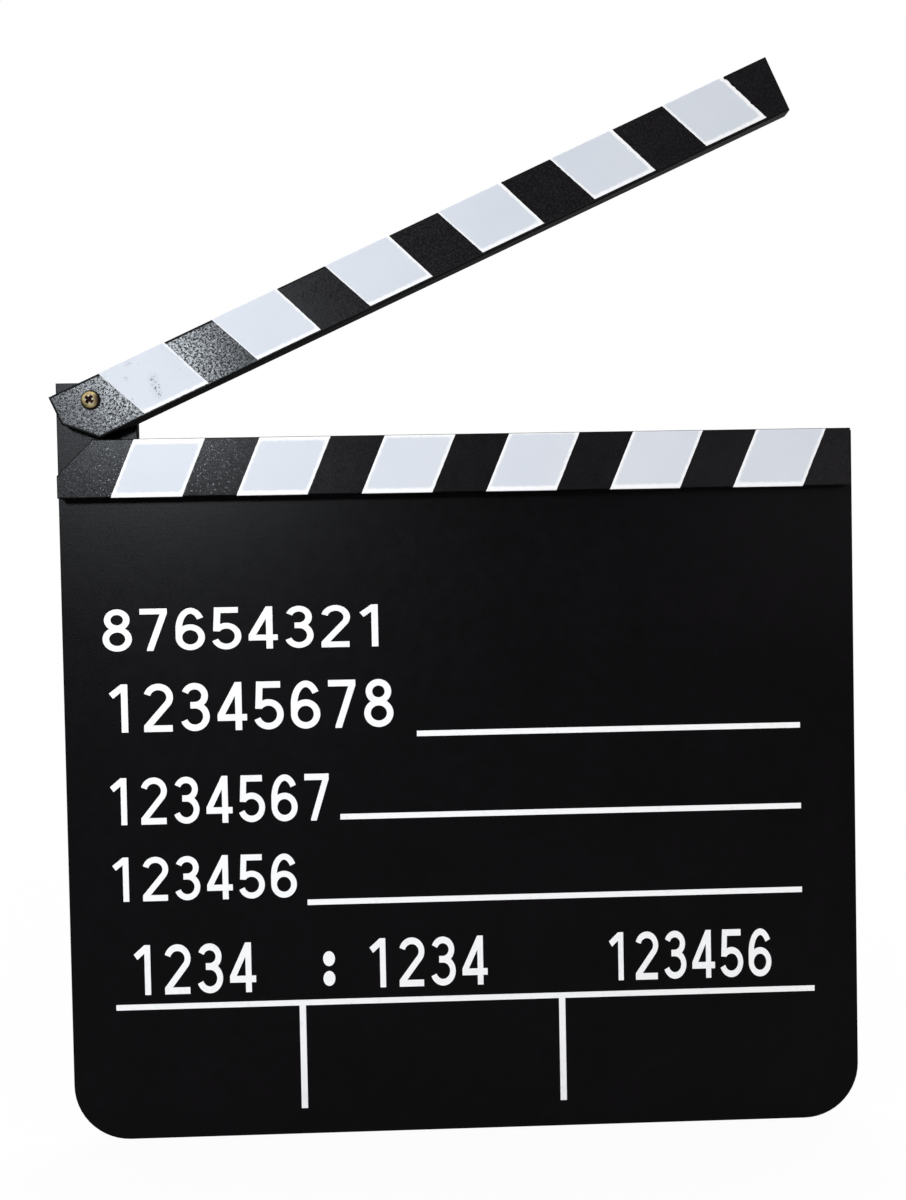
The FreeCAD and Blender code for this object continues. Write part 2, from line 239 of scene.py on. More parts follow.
class NodePen(NodeBench):
    """Draws the shader nodes of one material."""

    def __init__(self, name: str) -> None:
        """Start a material with a principled shader.

        Args:
            name: The material's name.
        """
        self.material = bpy.data.materials.new(name)
        super().__init__(self.material)
        self.output = self.add("ShaderNodeOutputMaterial")
        self.shader = self.add("ShaderNodeBsdfPrincipled")
        self.link(self.shader.outputs["BSDF"], self.output.inputs["Surface"])

    def set(self, name: str, value: object) -> None:
        """Link or set one of the shader's own sockets."""
        self.feed(self.shader.inputs[name], value)

    def place(self, turn_deg: float = 0.0, stretch: Point = (1.0, 1.0, 1.0)) -> Socket:
        """Give the object's own coordinates in millimetres.

        Args:
            turn_deg: A turn about Y that lays X along a tilted piece.
            stretch: A further scale on each axis.

        Returns:
            A vector socket.
        """
        coords = self.add("ShaderNodeTexCoord")
        turned = self.add("ShaderNodeMapping")
        self.link(coords.outputs["Object"], turned.inputs["Vector"])
        turned.inputs["Rotation"].default_value = (0.0, math.radians(turn_deg), 0.0)
        scaled = self.add("ShaderNodeMapping")
        self.link(turned.outputs["Vector"], scaled.inputs["Vector"])
        scaled.inputs["Scale"].default_value = tuple(axis / MM for axis in stretch)
        return scaled.outputs["Vector"]

    def speckle(self, place: Socket, size_mm: float, detail: float, roughness: float) -> bpy.types.Node:
        """Add a noise node.

        Args:
            place: The coordinates, in millimetres.
            size_mm: The size of the noise's largest features.
            detail: How many finer octaves it has.
            roughness: How strong those octaves are.

        Returns:
            The new node.
        """
        node = self.add("ShaderNodeTexNoise")
        self.link(place, node.inputs["Vector"])
        node.inputs["Scale"].default_value = 1.0 / size_mm
        node.inputs["Detail"].default_value = detail
        node.inputs["Roughness"].default_value = roughness
        return node

    def noise(self, place: Socket, size_mm: float, detail: float = 2.0, roughness: float = 0.5) -> Socket:
        """Give a noise value from 0 to 1, with the speckle's own arguments."""
        return self.speckle(place, size_mm, detail, roughness).outputs["Fac"]

    def grains(self, place: Socket, size_mm: float, detail: float = 3.0, roughness: float = 0.65) -> Socket:
        """Give a colour that wanders from grain to grain, each of its parts on its own."""
        return self.speckle(place, size_mm, detail, roughness).outputs["Color"]

    def swing(self, value: Socket) -> Socket:
        """Give how far a noise value lies from its middle."""
        return self.math("SUBTRACT", value, NOISE_MIDDLE)

    def lerp(self, share: Socket, first: object, second: object) -> Socket:
        """Mix two values.

        Args:
            share: How much of the second value counts.
            first: A socket or a number.
            second: A socket or a number.

        Returns:
            A value socket.
        """
        node = self.add("ShaderNodeMix", data_type="FLOAT")
        self.link(share, node.inputs["Factor"])
        self.feed(node.inputs["A"], first)
        self.feed(node.inputs["B"], second)
        return node.outputs["Result"]

    def mix(self, share: object, first: object, second: object) -> Socket:
        """Mix two colours.

        Args:
            share: How much of the second colour shows.
            first: A colour or a socket.
            second: A colour or a socket.

        Returns:
            A colour socket.
        """
        node = self.add("ShaderNodeMix", data_type="RGBA")
        self.feed(node.inputs["Factor"], share)
        for socket, colour in ((node.inputs["A"], first), (node.inputs["B"], second)):
            solid = (*colour, 1.0) if isinstance(colour, tuple) else colour
            self.feed(socket, solid)
        return node.outputs["Result"]

    def bump(self, height: Socket, depth_mm: float, under: Socket | None = None) -> Socket:
        """Give a bumped normal.

        Args:
            height: The height, from 0 to 1.
            depth_mm: What a height of 1 measures.
            under: A normal that the bump is laid on.

        Returns:
            A normal socket.
        """
        node = self.add("ShaderNodeBump")
        self.link(height, node.inputs["Height"])
        node.inputs["Distance"].default_value = depth_mm * MM
        if under is not None:
            self.link(under, node.inputs["Normal"])
        return node.outputs["Normal"]

    def inside(self, place: Socket, sides: tuple[Side, ...]) -> Socket:
        """Give how far a point lies inside a flat outline.

        Args:
            place: The coordinates, in millimetres.
            sides: The outline's sides.

        Returns:
            A value socket, in millimetres.
        """
        nearest = None
        for side in sides:
            reach = self.vector("DOT_PRODUCT", place, (side.across, 0.0, side.up)).outputs["Value"]
            gap = self.math("SUBTRACT", reach, side.offset)
            nearest = gap if nearest is None else self.math("MINIMUM", nearest, gap)
        return nearest

    def tilt(self, grains: Socket, lean: Socket, tipped: Socket, way: Point) -> Socket:
        """Lean each grain's face its own way, and some of them one way more.

        Args:
            grains: The grains' random colours.
            lean: How far a face may lean, as a slope.
            tipped: How much a face leans the one way, from 0 to 1.
            way: The one way, as a slope.

        Returns:
            A normal socket.
        """
        geometry = self.add("ShaderNodeNewGeometry")
        centred = self.vector("SUBTRACT", grains, (NOISE_MIDDLE,) * 3).outputs["Vector"]
        own_way = self.vector("SCALE", centred)
        self.link(self.math("MULTIPLY", lean, 2.0), own_way.inputs["Scale"])
        one_way = self.vector("SCALE", way)
        self.link(tipped, one_way.inputs["Scale"])
        leaning = self.vector("ADD", own_way.outputs["Vector"], one_way.outputs["Vector"])
        joined = self.vector("ADD", geometry.outputs["Normal"], leaning.outputs["Vector"])
        return self.vector("NORMALIZE", joined.outputs["Vector"]).outputs["Vector"]

    def facing(self) -> list[Socket]:
        """Give the three parts of the surface's own normal."""
        coords = self.add("ShaderNodeTexCoord")
        return self.parts(coords.outputs["Normal"])

    def carried(self, mark: Mark) -> Socket:
        """Give a value that the mesh's points carry."""
        node = self.add("ShaderNodeAttribute", attribute_name=mark.value)
        return node.outputs["Fac"]

    def distance(self, centre: Point) -> Socket:
        """Give the distance from a point, in millimetres.

        Args:
            centre: The point, in metres.

        Returns:
            A value socket.
        """
        coords = self.add("ShaderNodeTexCoord")
        apart = self.vector("DISTANCE", coords.outputs["Object"], centre)
        return self.math("DIVIDE", apart.outputs["Value"], MM)


@dataclass(frozen=True)
class BlackPaint:
    """Black paint on fibreboard: glossy and dull grains on the face, sawn sides, and painted light and
    shade: shade on the underside near the pivot, a highlight on the low edges, a dark line inside the face's
    outline and a shadow ring round the pivot.

    Sizes are in millimetres. Levels are the two values between which one look gives way to another.
    """

    name: str
    dark: Colour
    pale: Colour
    specular: float
    glossy: float
    dull: float
    dull_levels: Flat
    grain_mm: float
    grain_lean: float
    glint_levels: Flat
    glint_lean: float
    glint_way: Point = (0.0, 0.0, 0.0)
    glint_mm: float = 0.55
    gloss_spread: float = 1.25
    turn_deg: float = 0.0
    cloud_mm: float = 38.0
    mottle_mm: float = 4.5
    patch_levels: Flat = (0.14, 0.40)
    face_levels: Flat = (0.80, 0.97)
    outline: tuple[Side, ...] = ()
    line_mm: Flat = (0.45, 0.95)
    line_wave_mm: float = 2.0
    line_wander_mm: float = 0.5
    side_roughness: float = 1.0
    side_black: Colour = (0.0010, 0.0010, 0.0010)
    side_fleck: Colour = (0.024, 0.021, 0.019)
    fleck_levels: Flat = (0.58, 0.74)
    fibre_mm: float = 0.8
    fibre_stretch: Point = (0.07, 1.0, 1.0)
    fibre_depth_mm: float = 0.012
    underside_shade_mm: Flat | None = None
    under_levels: Flat = (-0.70, -0.85)
    edge_highlight: Colour = (0.070, 0.068, 0.066)
    highlight_patch_mm: float = 0.9
    highlight_patch_levels: Flat = (0.46, 0.62)
    edge_levels: Flat = (0.15, 0.5)
    low_levels: Flat = (-0.1, -0.4)
    pivot_centre: Point | None = None
    shade_ring_mm: Flat = (3.4, 3.8)
    ring_levels: Flat = (0.25, 0.5)
    ring_shares: Flat = (0.75, 1.0)
    coarse_mm: Flat = (18.0, 55.0)
    coarse_lean: Flat = (1.0, 0.75)

    def build(self) -> bpy.types.Material:
        """Make the material.

        Returns:
            The new material.
        """
        pen = NodePen(self.name)
        place = pen.place(self.turn_deg)
        mottle = pen.noise(place, self.mottle_mm, detail=4.0, roughness=0.6)
        drawn_out = pen.place(self.turn_deg, self.fibre_stretch)
        fibres = pen.noise(drawn_out, self.fibre_mm, detail=3.0, roughness=0.6)
        _, outward, upward = pen.facing()
        away = pen.math("ABSOLUTE", outward)
        face = pen.remap(away, self.face_levels)
        cloud = pen.noise(place, self.cloud_mm, detail=3.0)
        patches = pen.remap(pen.math("MULTIPLY", cloud, mottle), self.patch_levels)
        side = self.sawn_side(pen, place, fibres, upward)
        ground = pen.mix(face, side, pen.mix(patches, self.dark, self.pale))
        # Painted highlight: a lighter grey in patches on the low rounded edges.
        ground = pen.mix(self.low_edge_highlight(pen, place, away, upward), ground, self.edge_highlight)
        grains = pen.grains(place, self.grain_mm)
        flat_share = pen.remap(pen.parts(grains)[0], self.dull_levels)
        shine = pen.remap(mottle, NOISE_SPAN, (self.glossy, self.gloss_spread * self.glossy))
        glint = pen.remap(pen.noise(place, self.glint_mm, detail=1.0), self.glint_levels)
        gloss = pen.lerp(glint, pen.lerp(flat_share, shine, self.dull), self.glossy)
        lean = pen.lerp(glint, self.grain_lean, self.glint_lean)
        # Painted shade: a near-black, dull line just inside the face's outline.
        if self.outline:
            line = self.dark_line(pen, place)
            gloss = pen.lerp(line, gloss, self.side_roughness)
            ground = pen.mix(line, ground, self.side_black)
        if self.pivot_centre is not None:
            apart = pen.distance(self.pivot_centre)
            lean = pen.math("MULTIPLY", lean, pen.remap(apart, self.coarse_mm, self.coarse_lean))
            # Painted shadow: a dull ring of the dark tone round the pivot's screw head.
            ring = pen.remap(apart, self.shade_ring_mm, (1.0, 0.0))
            ring = pen.math("MULTIPLY", ring, pen.remap(mottle, self.ring_levels, self.ring_shares))
            gloss = pen.lerp(ring, gloss, self.side_roughness)
            ground = pen.mix(ring, ground, self.dark)
        pen.set("Base Color", ground)
        pen.set("Roughness", pen.lerp(face, self.side_roughness, gloss))
        leaning = pen.tilt(grains, lean, glint, self.glint_way)
        pen.set("Normal", pen.bump(fibres, self.fibre_depth_mm, leaning))
        pen.set("Specular IOR Level", self.specular)
        return pen.material

    def sawn_side(self, pen: NodePen, place: Socket, fibres: Socket, upward: Socket) -> Socket:
        """Give the colour of the sawn sides, with painted shade on the underside near the pivot, where its
        flecks and its sheen are taken off.

        Args:
            pen: What the material is drawn with.
            place: The coordinates, in millimetres.
            fibres: The noise of the board's fibres.
            upward: How far the surface faces up.

        Returns:
            A colour socket.
        """
        flecks = pen.remap(fibres, self.fleck_levels)
        # Painted shade: on the underside near the pivot the pale flecks go, and a black specular tint takes
        # off the sheen.
        if self.underside_shade_mm is not None:
            under = pen.remap(upward, self.under_levels)
            along = pen.parts(place)[0]
            underside_shade = pen.math("MULTIPLY", under, pen.remap(along, self.underside_shade_mm, (1.0, 0.0)))
            flecks = pen.math("MULTIPLY", flecks, pen.math("SUBTRACT", 1.0, underside_shade))
            pen.set("Specular Tint", pen.mix(underside_shade, (1.0, 1.0, 1.0), (0.0, 0.0, 0.0)))
        return pen.mix(flecks, self.side_black, self.side_fleck)

    def low_edge_highlight(self, pen: NodePen, place: Socket, away: Socket, upward: Socket) -> Socket:
        """Give the painted highlight on the low edges of the face, broken into patches.

        Args:
            pen: What the material is drawn with.
            place: The coordinates, in millimetres.
            away: How far the surface faces to the front or to the back.
            upward: How far it faces up.

        Returns:
            A value socket from 0 to 1.
        """
        rounding, flat = self.face_levels
        edge = pen.math("MULTIPLY", pen.remap(away, (flat, rounding)), pen.remap(away, self.edge_levels))
        low_edge = pen.math("MULTIPLY", edge, pen.remap(upward, self.low_levels))
        patchy = pen.noise(place, self.highlight_patch_mm, detail=4.0, roughness=0.7)
        highlit = pen.remap(patchy, self.highlight_patch_levels)
        return pen.math("MULTIPLY", low_edge, highlit)

    def dark_line(self, pen: NodePen, place: Socket) -> Socket:
        """Give the painted shade: a dark line just inside the face's outline, where the rounded edge turns
        from the light.

        Args:
            pen: What the material is drawn with.
            place: The coordinates, in millimetres.

        Returns:
            A value socket from 0 to 1.
        """
        wave = pen.swing(pen.noise(place, self.line_wave_mm, detail=3.0))
        wander = pen.math("MULTIPLY", wave, self.line_wander_mm)
        inside = pen.math("ADD", pen.inside(pen.place(), self.outline), wander)
        return pen.remap(inside, self.line_mm, (1.0, 0.0))


@dataclass(frozen=True)
class StripePaint:
    """White stripe paint: a cool middle, a cleaner thick rim, soil and dark scuff specks."""

    name: str
    middle: Colour
    middle_shade: Colour
    rim: Colour = (0.93, 0.93, 0.94)
    soil: Colour = (0.36, 0.38, 0.41)
    speck: Colour = (0.06, 0.065, 0.075)
    cloud_mm: float = 20.0
    cloud_levels: Flat = (0.35, 0.65)
    rim_wave_mm: float = 1.4
    rim_levels: Flat = (-0.45, 0.45)
    soil_shares: Flat = (0.18, 0.32)
    speck_mm: float = 0.8
    speck_levels: Flat = (0.77, 0.82)
    speck_share: float = 0.9
    scuff_gain: float = 0.21
    tooth_mm: float = 0.6
    tooth_depth_mm: float = 0.012
    roughness: Flat = (0.42, 0.55)
    specular: float = 0.35

    def build(self) -> bpy.types.Material:
        """Make the material.

        Returns:
            The new material.
        """
        pen = NodePen(self.name)
        place = pen.place()
        cloud = pen.noise(place, self.cloud_mm, detail=3.0)
        ground = pen.mix(pen.remap(cloud, self.cloud_levels), self.middle, self.middle_shade)
        wave = pen.swing(pen.noise(place, self.rim_wave_mm, detail=3.0))
        rim = pen.remap(pen.math("ADD", pen.carried(Mark.RIM), wave), self.rim_levels)
        ground = pen.mix(rim, ground, self.rim)
        scuffed = pen.carried(Mark.SCUFF)
        soiled = pen.math("MULTIPLY", scuffed, pen.remap(cloud, NOISE_SPAN, self.soil_shares))
        ground = pen.mix(soiled, ground, self.soil)
        fleck = pen.noise(place, self.speck_mm, roughness=0.6)
        scuff = pen.math("MULTIPLY", scuffed, self.scuff_gain)
        specks = pen.remap(pen.math("ADD", fleck, scuff), self.speck_levels)
        specks = pen.math("MULTIPLY", specks, self.speck_share)
        pen.set("Base Color", pen.mix(specks, ground, self.speck))
        tooth = pen.noise(place, self.tooth_mm)
        pen.set("Roughness", pen.remap(tooth, NOISE_SPAN, self.roughness))
        pen.set("Normal", pen.bump(tooth, self.tooth_depth_mm))
        pen.set("Specular IOR Level", self.specular)
        return pen.material


@dataclass(frozen=True)
class PrintWhite:
    """White print on the board: clean white with a faint tooth and a few thin spots."""

    name: str = "print_white"
    white: Colour = (0.96, 0.96, 0.965)
    thin: Colour = (0.86, 0.865, 0.88)
    thin_mm: float = 3.5
    thin_levels: Flat = (0.55, 0.75)
    tooth_mm: float = 0.5
    tooth_depth_mm: float = 0.01
    roughness: Flat = (0.45, 0.55)
    specular: float = 0.3

    def build(self) -> bpy.types.Material:
        """Make the material.

        Returns:
            The new material.
        """
        pen = NodePen(self.name)
        place = pen.place()
        spots = pen.noise(place, self.thin_mm, detail=4.0, roughness=0.65)
        thin = pen.remap(spots, self.thin_levels)
        pen.set("Base Color", pen.mix(thin, self.white, self.thin))
        tooth = pen.noise(place, self.tooth_mm)
        pen.set("Roughness", pen.remap(tooth, NOISE_SPAN, self.roughness))
        pen.set("Normal", pen.bump(tooth, self.tooth_depth_mm))
        pen.set("Specular IOR Level", self.specular)
        return pen.material


@dataclass(frozen=True)
class YellowZinc:
    """Yellow zinc plate with brown stains, and painted light: a cream highlight and dark shade on the
    screw's head, and shade on the back pieces' sides.
    """

    name: str = "yellow_zinc_plate"
    cream: Colour = (1.0, 0.88, 0.62)
    gold: Colour = (0.86, 0.64, 0.28)
    back_gold: Colour = (0.56, 0.40, 0.16)
    flank: Colour = (0.20, 0.13, 0.05)
    olive: Colour = (0.20, 0.19, 0.04)
    brown: Colour = (0.26, 0.11, 0.05)
    head_shade: Colour = (0.022, 0.014, 0.009)
    head_depth_mm: Flat = (-7.6, -7.0)
    stain_mm: float = 0.9
    stain_levels: Flat = (0.60, 0.75)
    stain_depth_mm: float = 0.008
    drift_share: float = 0.5
    highlight_levels: Flat = (0.86, 0.97)
    flank_levels: Flat = (0.85, 0.35)
    olive_levels: Flat = (0.40, 0.85)
    head_shade_levels: Flat = (0.26, 0.58)
    head_shade_drift_share: float = 0.3
    head_shade_share: float = 0.93
    rim_levels: Flat = (0.845, 0.75)
    roughness: Flat = (0.28, 0.42)
    metallic: float = 0.70

    def build(self) -> bpy.types.Material:
        """Make the material.

        Returns:
            The new material.
        """
        pen = NodePen(self.name)
        place = pen.place()
        stain_and_shade = pen.noise(place, self.stain_mm, detail=4.0, roughness=0.6)
        drift = pen.math("MULTIPLY", pen.swing(stain_and_shade), self.drift_share)
        across, outward, up = pen.facing()
        level = pen.math("ABSOLUTE", outward)
        head = pen.remap(pen.parts(place)[1], self.head_depth_mm, (1.0, 0.0))
        # Painted highlight: where the head faces the front, its gold turns to cream.
        middle = pen.math("MULTIPLY", head, pen.remap(pen.math("ADD", level, drift), self.highlight_levels))
        colour = pen.mix(head, self.back_gold, pen.mix(middle, self.gold, self.cream))
        # Painted shade: the back pieces turn dark brown on their sideways faces and thread.
        back = pen.math("SUBTRACT", 1.0, head)
        flank = pen.math("MULTIPLY", back, pen.remap(level, self.flank_levels))
        colour = pen.mix(flank, colour, self.flank)
        # The head's lower left turns dark olive: the plate's olive tint, laid on as painted shade.
        low_left = pen.math("SUBTRACT", drift, pen.math("ADD", up, across))
        olive_shade = pen.math("MULTIPLY", head, pen.remap(low_left, self.olive_levels))
        colour = pen.mix(olive_shade, colour, self.olive)
        colour = pen.mix(pen.remap(stain_and_shade, self.stain_levels), colour, self.brown)
        # Painted shade: the head's right side and its rim turn nearly black.
        right = pen.math("ADD", across, pen.math("MULTIPLY", drift, self.head_shade_drift_share))
        right = pen.remap(right, self.head_shade_levels, (0.0, self.head_shade_share))
        rim = pen.remap(level, self.rim_levels)
        head_shaded = pen.math("MULTIPLY", head, pen.math("MAXIMUM", right, rim))
        pen.set("Base Color", pen.mix(head_shaded, colour, self.head_shade))
        pen.set("Roughness", pen.remap(stain_and_shade, NOISE_SPAN, self.roughness))
        pen.set("Normal", pen.bump(stain_and_shade, self.stain_depth_mm))
        pen.set("Metallic", self.metallic)
        return pen.material


@dataclass(frozen=True)
class RecessBrownAndShade:
    """The driven recess: the plate's brown, darkened as painted shade of the hollow, with near-black
    patches.
    """

    name: str = "recess_brown"
    brown: Colour = (0.060, 0.015, 0.011)
    dark_patch: Colour = (0.004, 0.002, 0.002)
    dark_patch_mm: float = 0.6
    dark_patch_levels: Flat = (0.40, 0.62)
    dark_patch_depth_mm: float = 0.01
    roughness: Flat = (0.65, 0.85)
    specular: float = 0.25

    def build(self) -> bpy.types.Material:
        """Make the material.

        Returns:
            The new material.
        """
        pen = NodePen(self.name)
        dark_patch = pen.noise(pen.place(), self.dark_patch_mm, detail=3.0, roughness=0.6)
        # Painted shade: the recess is dark brown, with near-black patches.
        pen.set("Base Color", pen.mix(pen.remap(dark_patch, self.dark_patch_levels), self.brown, self.dark_patch))
        pen.set("Roughness", pen.remap(dark_patch, NOISE_SPAN, self.roughness))
        pen.set("Normal", pen.bump(dark_patch, self.dark_patch_depth_mm))
        pen.set("Specular IOR Level", self.specular)
        return pen.material


# How far the upper stick is shown open.
OPEN_DEG = 24.55

BOARD_BLACK = BlackPaint(
    "board_black", (0.0016, 0.0008, 0.0016), (0.0027, 0.0015, 0.0027),
    specular=0.25, glossy=0.28, dull=0.50, dull_levels=(0.42, 0.62), grain_mm=0.5, grain_lean=0.06,
    glint_levels=(0.74, 0.82), glint_lean=0.12, coarse_mm=(13.0, 19.0), coarse_lean=(2.4, 1.0))
LOWER_BLACK = BlackPaint(
    "lower_stick_black", (0.0065, 0.0057, 0.0068), (0.0095, 0.0085, 0.0098),
    specular=0.25, glossy=0.21, dull=0.42, dull_levels=(0.42, 0.58), grain_mm=0.55, grain_lean=0.07,
    glint_levels=(0.625, 0.70), glint_lean=0.10, glint_way=(-0.05, 0.0, 0.09), line_mm=(0.15, 0.50))
UPPER_BLACK = BlackPaint(
    "upper_stick_black", (0.0062, 0.0052, 0.0064), (0.0092, 0.0077, 0.0094),
    specular=0.45, glossy=0.20, dull=0.62, dull_levels=(0.49, 0.60), grain_mm=0.85, grain_lean=0.12,
    glint_levels=(0.66, 0.74), glint_lean=0.08, turn_deg=OPEN_DEG, underside_shade_mm=(40.0, 190.0))
LOWER_WHITE = StripePaint("lower_stripe_white", (0.678, 0.706, 0.764), (0.656, 0.686, 0.748))
UPPER_WHITE = StripePaint("upper_stripe_white", (0.650, 0.682, 0.737), (0.628, 0.662, 0.721))


@dataclass(frozen=True)
class Datum:
    """Places that several pieces are set to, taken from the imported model."""

    pivot: Point
    board_left: float
    board_front: float
    lower_start: Point
    upper_front: float

    @classmethod
    def from_frame(cls, frame: dict) -> "Datum":
        """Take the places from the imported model.

        Args:
            frame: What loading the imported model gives.

        Returns:
            The places.
        """
        board_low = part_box("board_panel")[0]
        stick_low, stick_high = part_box("lower_stick")
        return cls(
            pivot=tuple(frame["joints"][0]["pos_m"]),
            board_left=board_low.x,
            board_front=board_low.y,
            lower_start=(stick_low.x, stick_low.y, stick_high.z),
            upper_front=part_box("upper_stick")[0].y,
        )

    def on_board_face(self) -> Point:
        """Give the point where the pivot goes into the board's face."""
        return (self.pivot[0], self.board_front, self.pivot[2])

    def on_upper_face(self) -> Point:
        """Give the point where the pivot comes out of the upper stick's face."""
        return (self.pivot[0], self.upper_front, self.pivot[2])


def dress(piece: bpy.types.Object, finish: bpy.types.Material) -> None:
    """Give a new piece its finish."""
    piece.data.materials.append(finish)


def refinish(node: bpy.types.Object, finish: bpy.types.Material) -> None:
    """Give a carried-over node a better finish in its own slot."""
    node.material_slots[0].material = finish


@dataclass
class Shape:
    """Points and faces of a mesh in the making, in metres."""

    points: list[Vector] = field(default_factory=list)
    faces: list[tuple[int, ...]] = field(default_factory=list)

    def mesh(self, name: str) -> bpy.types.Mesh:
        """Make a mesh with its faces turned outward.

        Args:
            name: The mesh's name.

        Returns:
            The new mesh.
        """
        mesh = bpy.data.meshes.new(name)
        mesh.from_pydata(self.points, [], self.faces)
        work = bmesh.new()
        work.from_mesh(mesh)
        bmesh.ops.recalc_face_normals(work, faces=work.faces)
        work.to_mesh(mesh)
        work.free()
        mesh.update()
        return mesh

    def spun(self, turn_deg: float) -> "Shape":
        """Give a copy turned about the pivot's direction.

        Args:
            turn_deg: How far it turns, as the front shows it, against the clock.

        Returns:
            The new shape.
        """
        matrix = Matrix.Rotation(math.radians(-turn_deg), 4, "Y")
        return Shape([matrix @ point for point in self.points], list(self.faces))


def skin(outer: list[list[Vector]], inner: list[list[Vector]]) -> Shape:
    """Close two equal grids of points, one over the other, into a thin solid.

    Args:
        outer: Rows of points on the outside.
        inner: The points below them.

    Returns:
        The solid's points and faces.
    """
    rows = len(outer)
    columns = len(outer[0])
    shape = Shape()
    for grid in (outer, inner):
        for row in grid:
            shape.points.extend(row)
    half = rows * columns
    for row in range(rows - 1):
        for column in range(columns - 1):
            corner = row * columns + column
            quad = (corner, corner + 1, corner + columns + 1, corner + columns)
            shape.faces.append(quad)
            shape.faces.append(tuple(half + index for index in reversed(quad)))
    border = list(range(columns))
    border += [row * columns + columns - 1 for row in range(1, rows)]
    border += [(rows - 1) * columns + column for column in reversed(range(columns - 1))]
    border += [row * columns for row in reversed(range(1, rows - 1))]
    for here, ahead in zip(border, border[1:] + border[:1]):
        shape.faces.append((here, half + here, half + ahead, ahead))
    return shape


def turned(rows: list[list[Flat]], looped: bool = False) -> Shape:
    """Turn rows of points about the pivot's direction into a closed solid.

    Args:
        rows: For each row, the radius and the depth at each step round the axis.
        looped: Whether the last row joins the first, as on a ring. If not, both ends are closed.

    Returns:
        The solid's points and faces.
    """
    count = len(rows[0])
    shape = Shape()
    for row in rows:
        for index, (radius, depth) in enumerate(row):
            angle = math.tau * index / count
            shape.points.append(Vector((radius * math.cos(angle), depth, radius * math.sin(angle))))
    for level in range(len(rows) if looped else len(rows) - 1):
        here = level * count
        above = (level + 1) % len(rows) * count
        for index in range(count):
            beside = (index + 1) % count
            shape.faces.append((here + index, here + beside, above + beside, above + index))
    if not looped:
        shape.faces.append(tuple(range(count)))
        shape.faces.append(tuple(range(len(shape.points) - count, len(shape.points))))
    return shape


def new_piece(name: str, mesh: bpy.types.Mesh, smooth_deg: float | None = None) -> bpy.types.Object:
    """Put a mesh in the scene as a piece.

    Args:
        name: The piece's name.
        mesh: Its mesh.
        smooth_deg: The sharpest angle that is shaded smooth, or none for flat faces.

    Returns:
        The new piece.
    """
    if smooth_deg is not None:
        mesh.shade_smooth()
        mesh.set_sharp_from_angle(angle=math.radians(smooth_deg))
    piece = bpy.data.objects.new(name, mesh)
    bpy.context.scene.collection.objects.link(piece)
    return piece


def worked(mesh: bpy.types.Mesh, tool: bpy.types.Mesh, way: Joinery) -> bpy.types.Mesh:
    """Work one solid with another.

    Args:
        mesh: The solid that is kept.
        tool: The solid that works it.
        way: What the tool does.

    Returns:
        A new mesh. Both old ones are removed.
    """
    blank = new_piece(f"{mesh.name}_blank", mesh)
    cutter = new_piece(f"{mesh.name}_tool", tool)
    change = blank.modifiers.new("work", "BOOLEAN")
    change.operation = way.value
    change.solver = "EXACT"
    change.object = cutter
    graph = bpy.context.evaluated_depsgraph_get()
    made = bpy.data.meshes.new_from_object(blank.evaluated_get(graph))
    for piece, old in ((blank, mesh), (cutter, tool)):
        bpy.data.objects.remove(piece)
        bpy.data.meshes.remove(old)
    return made


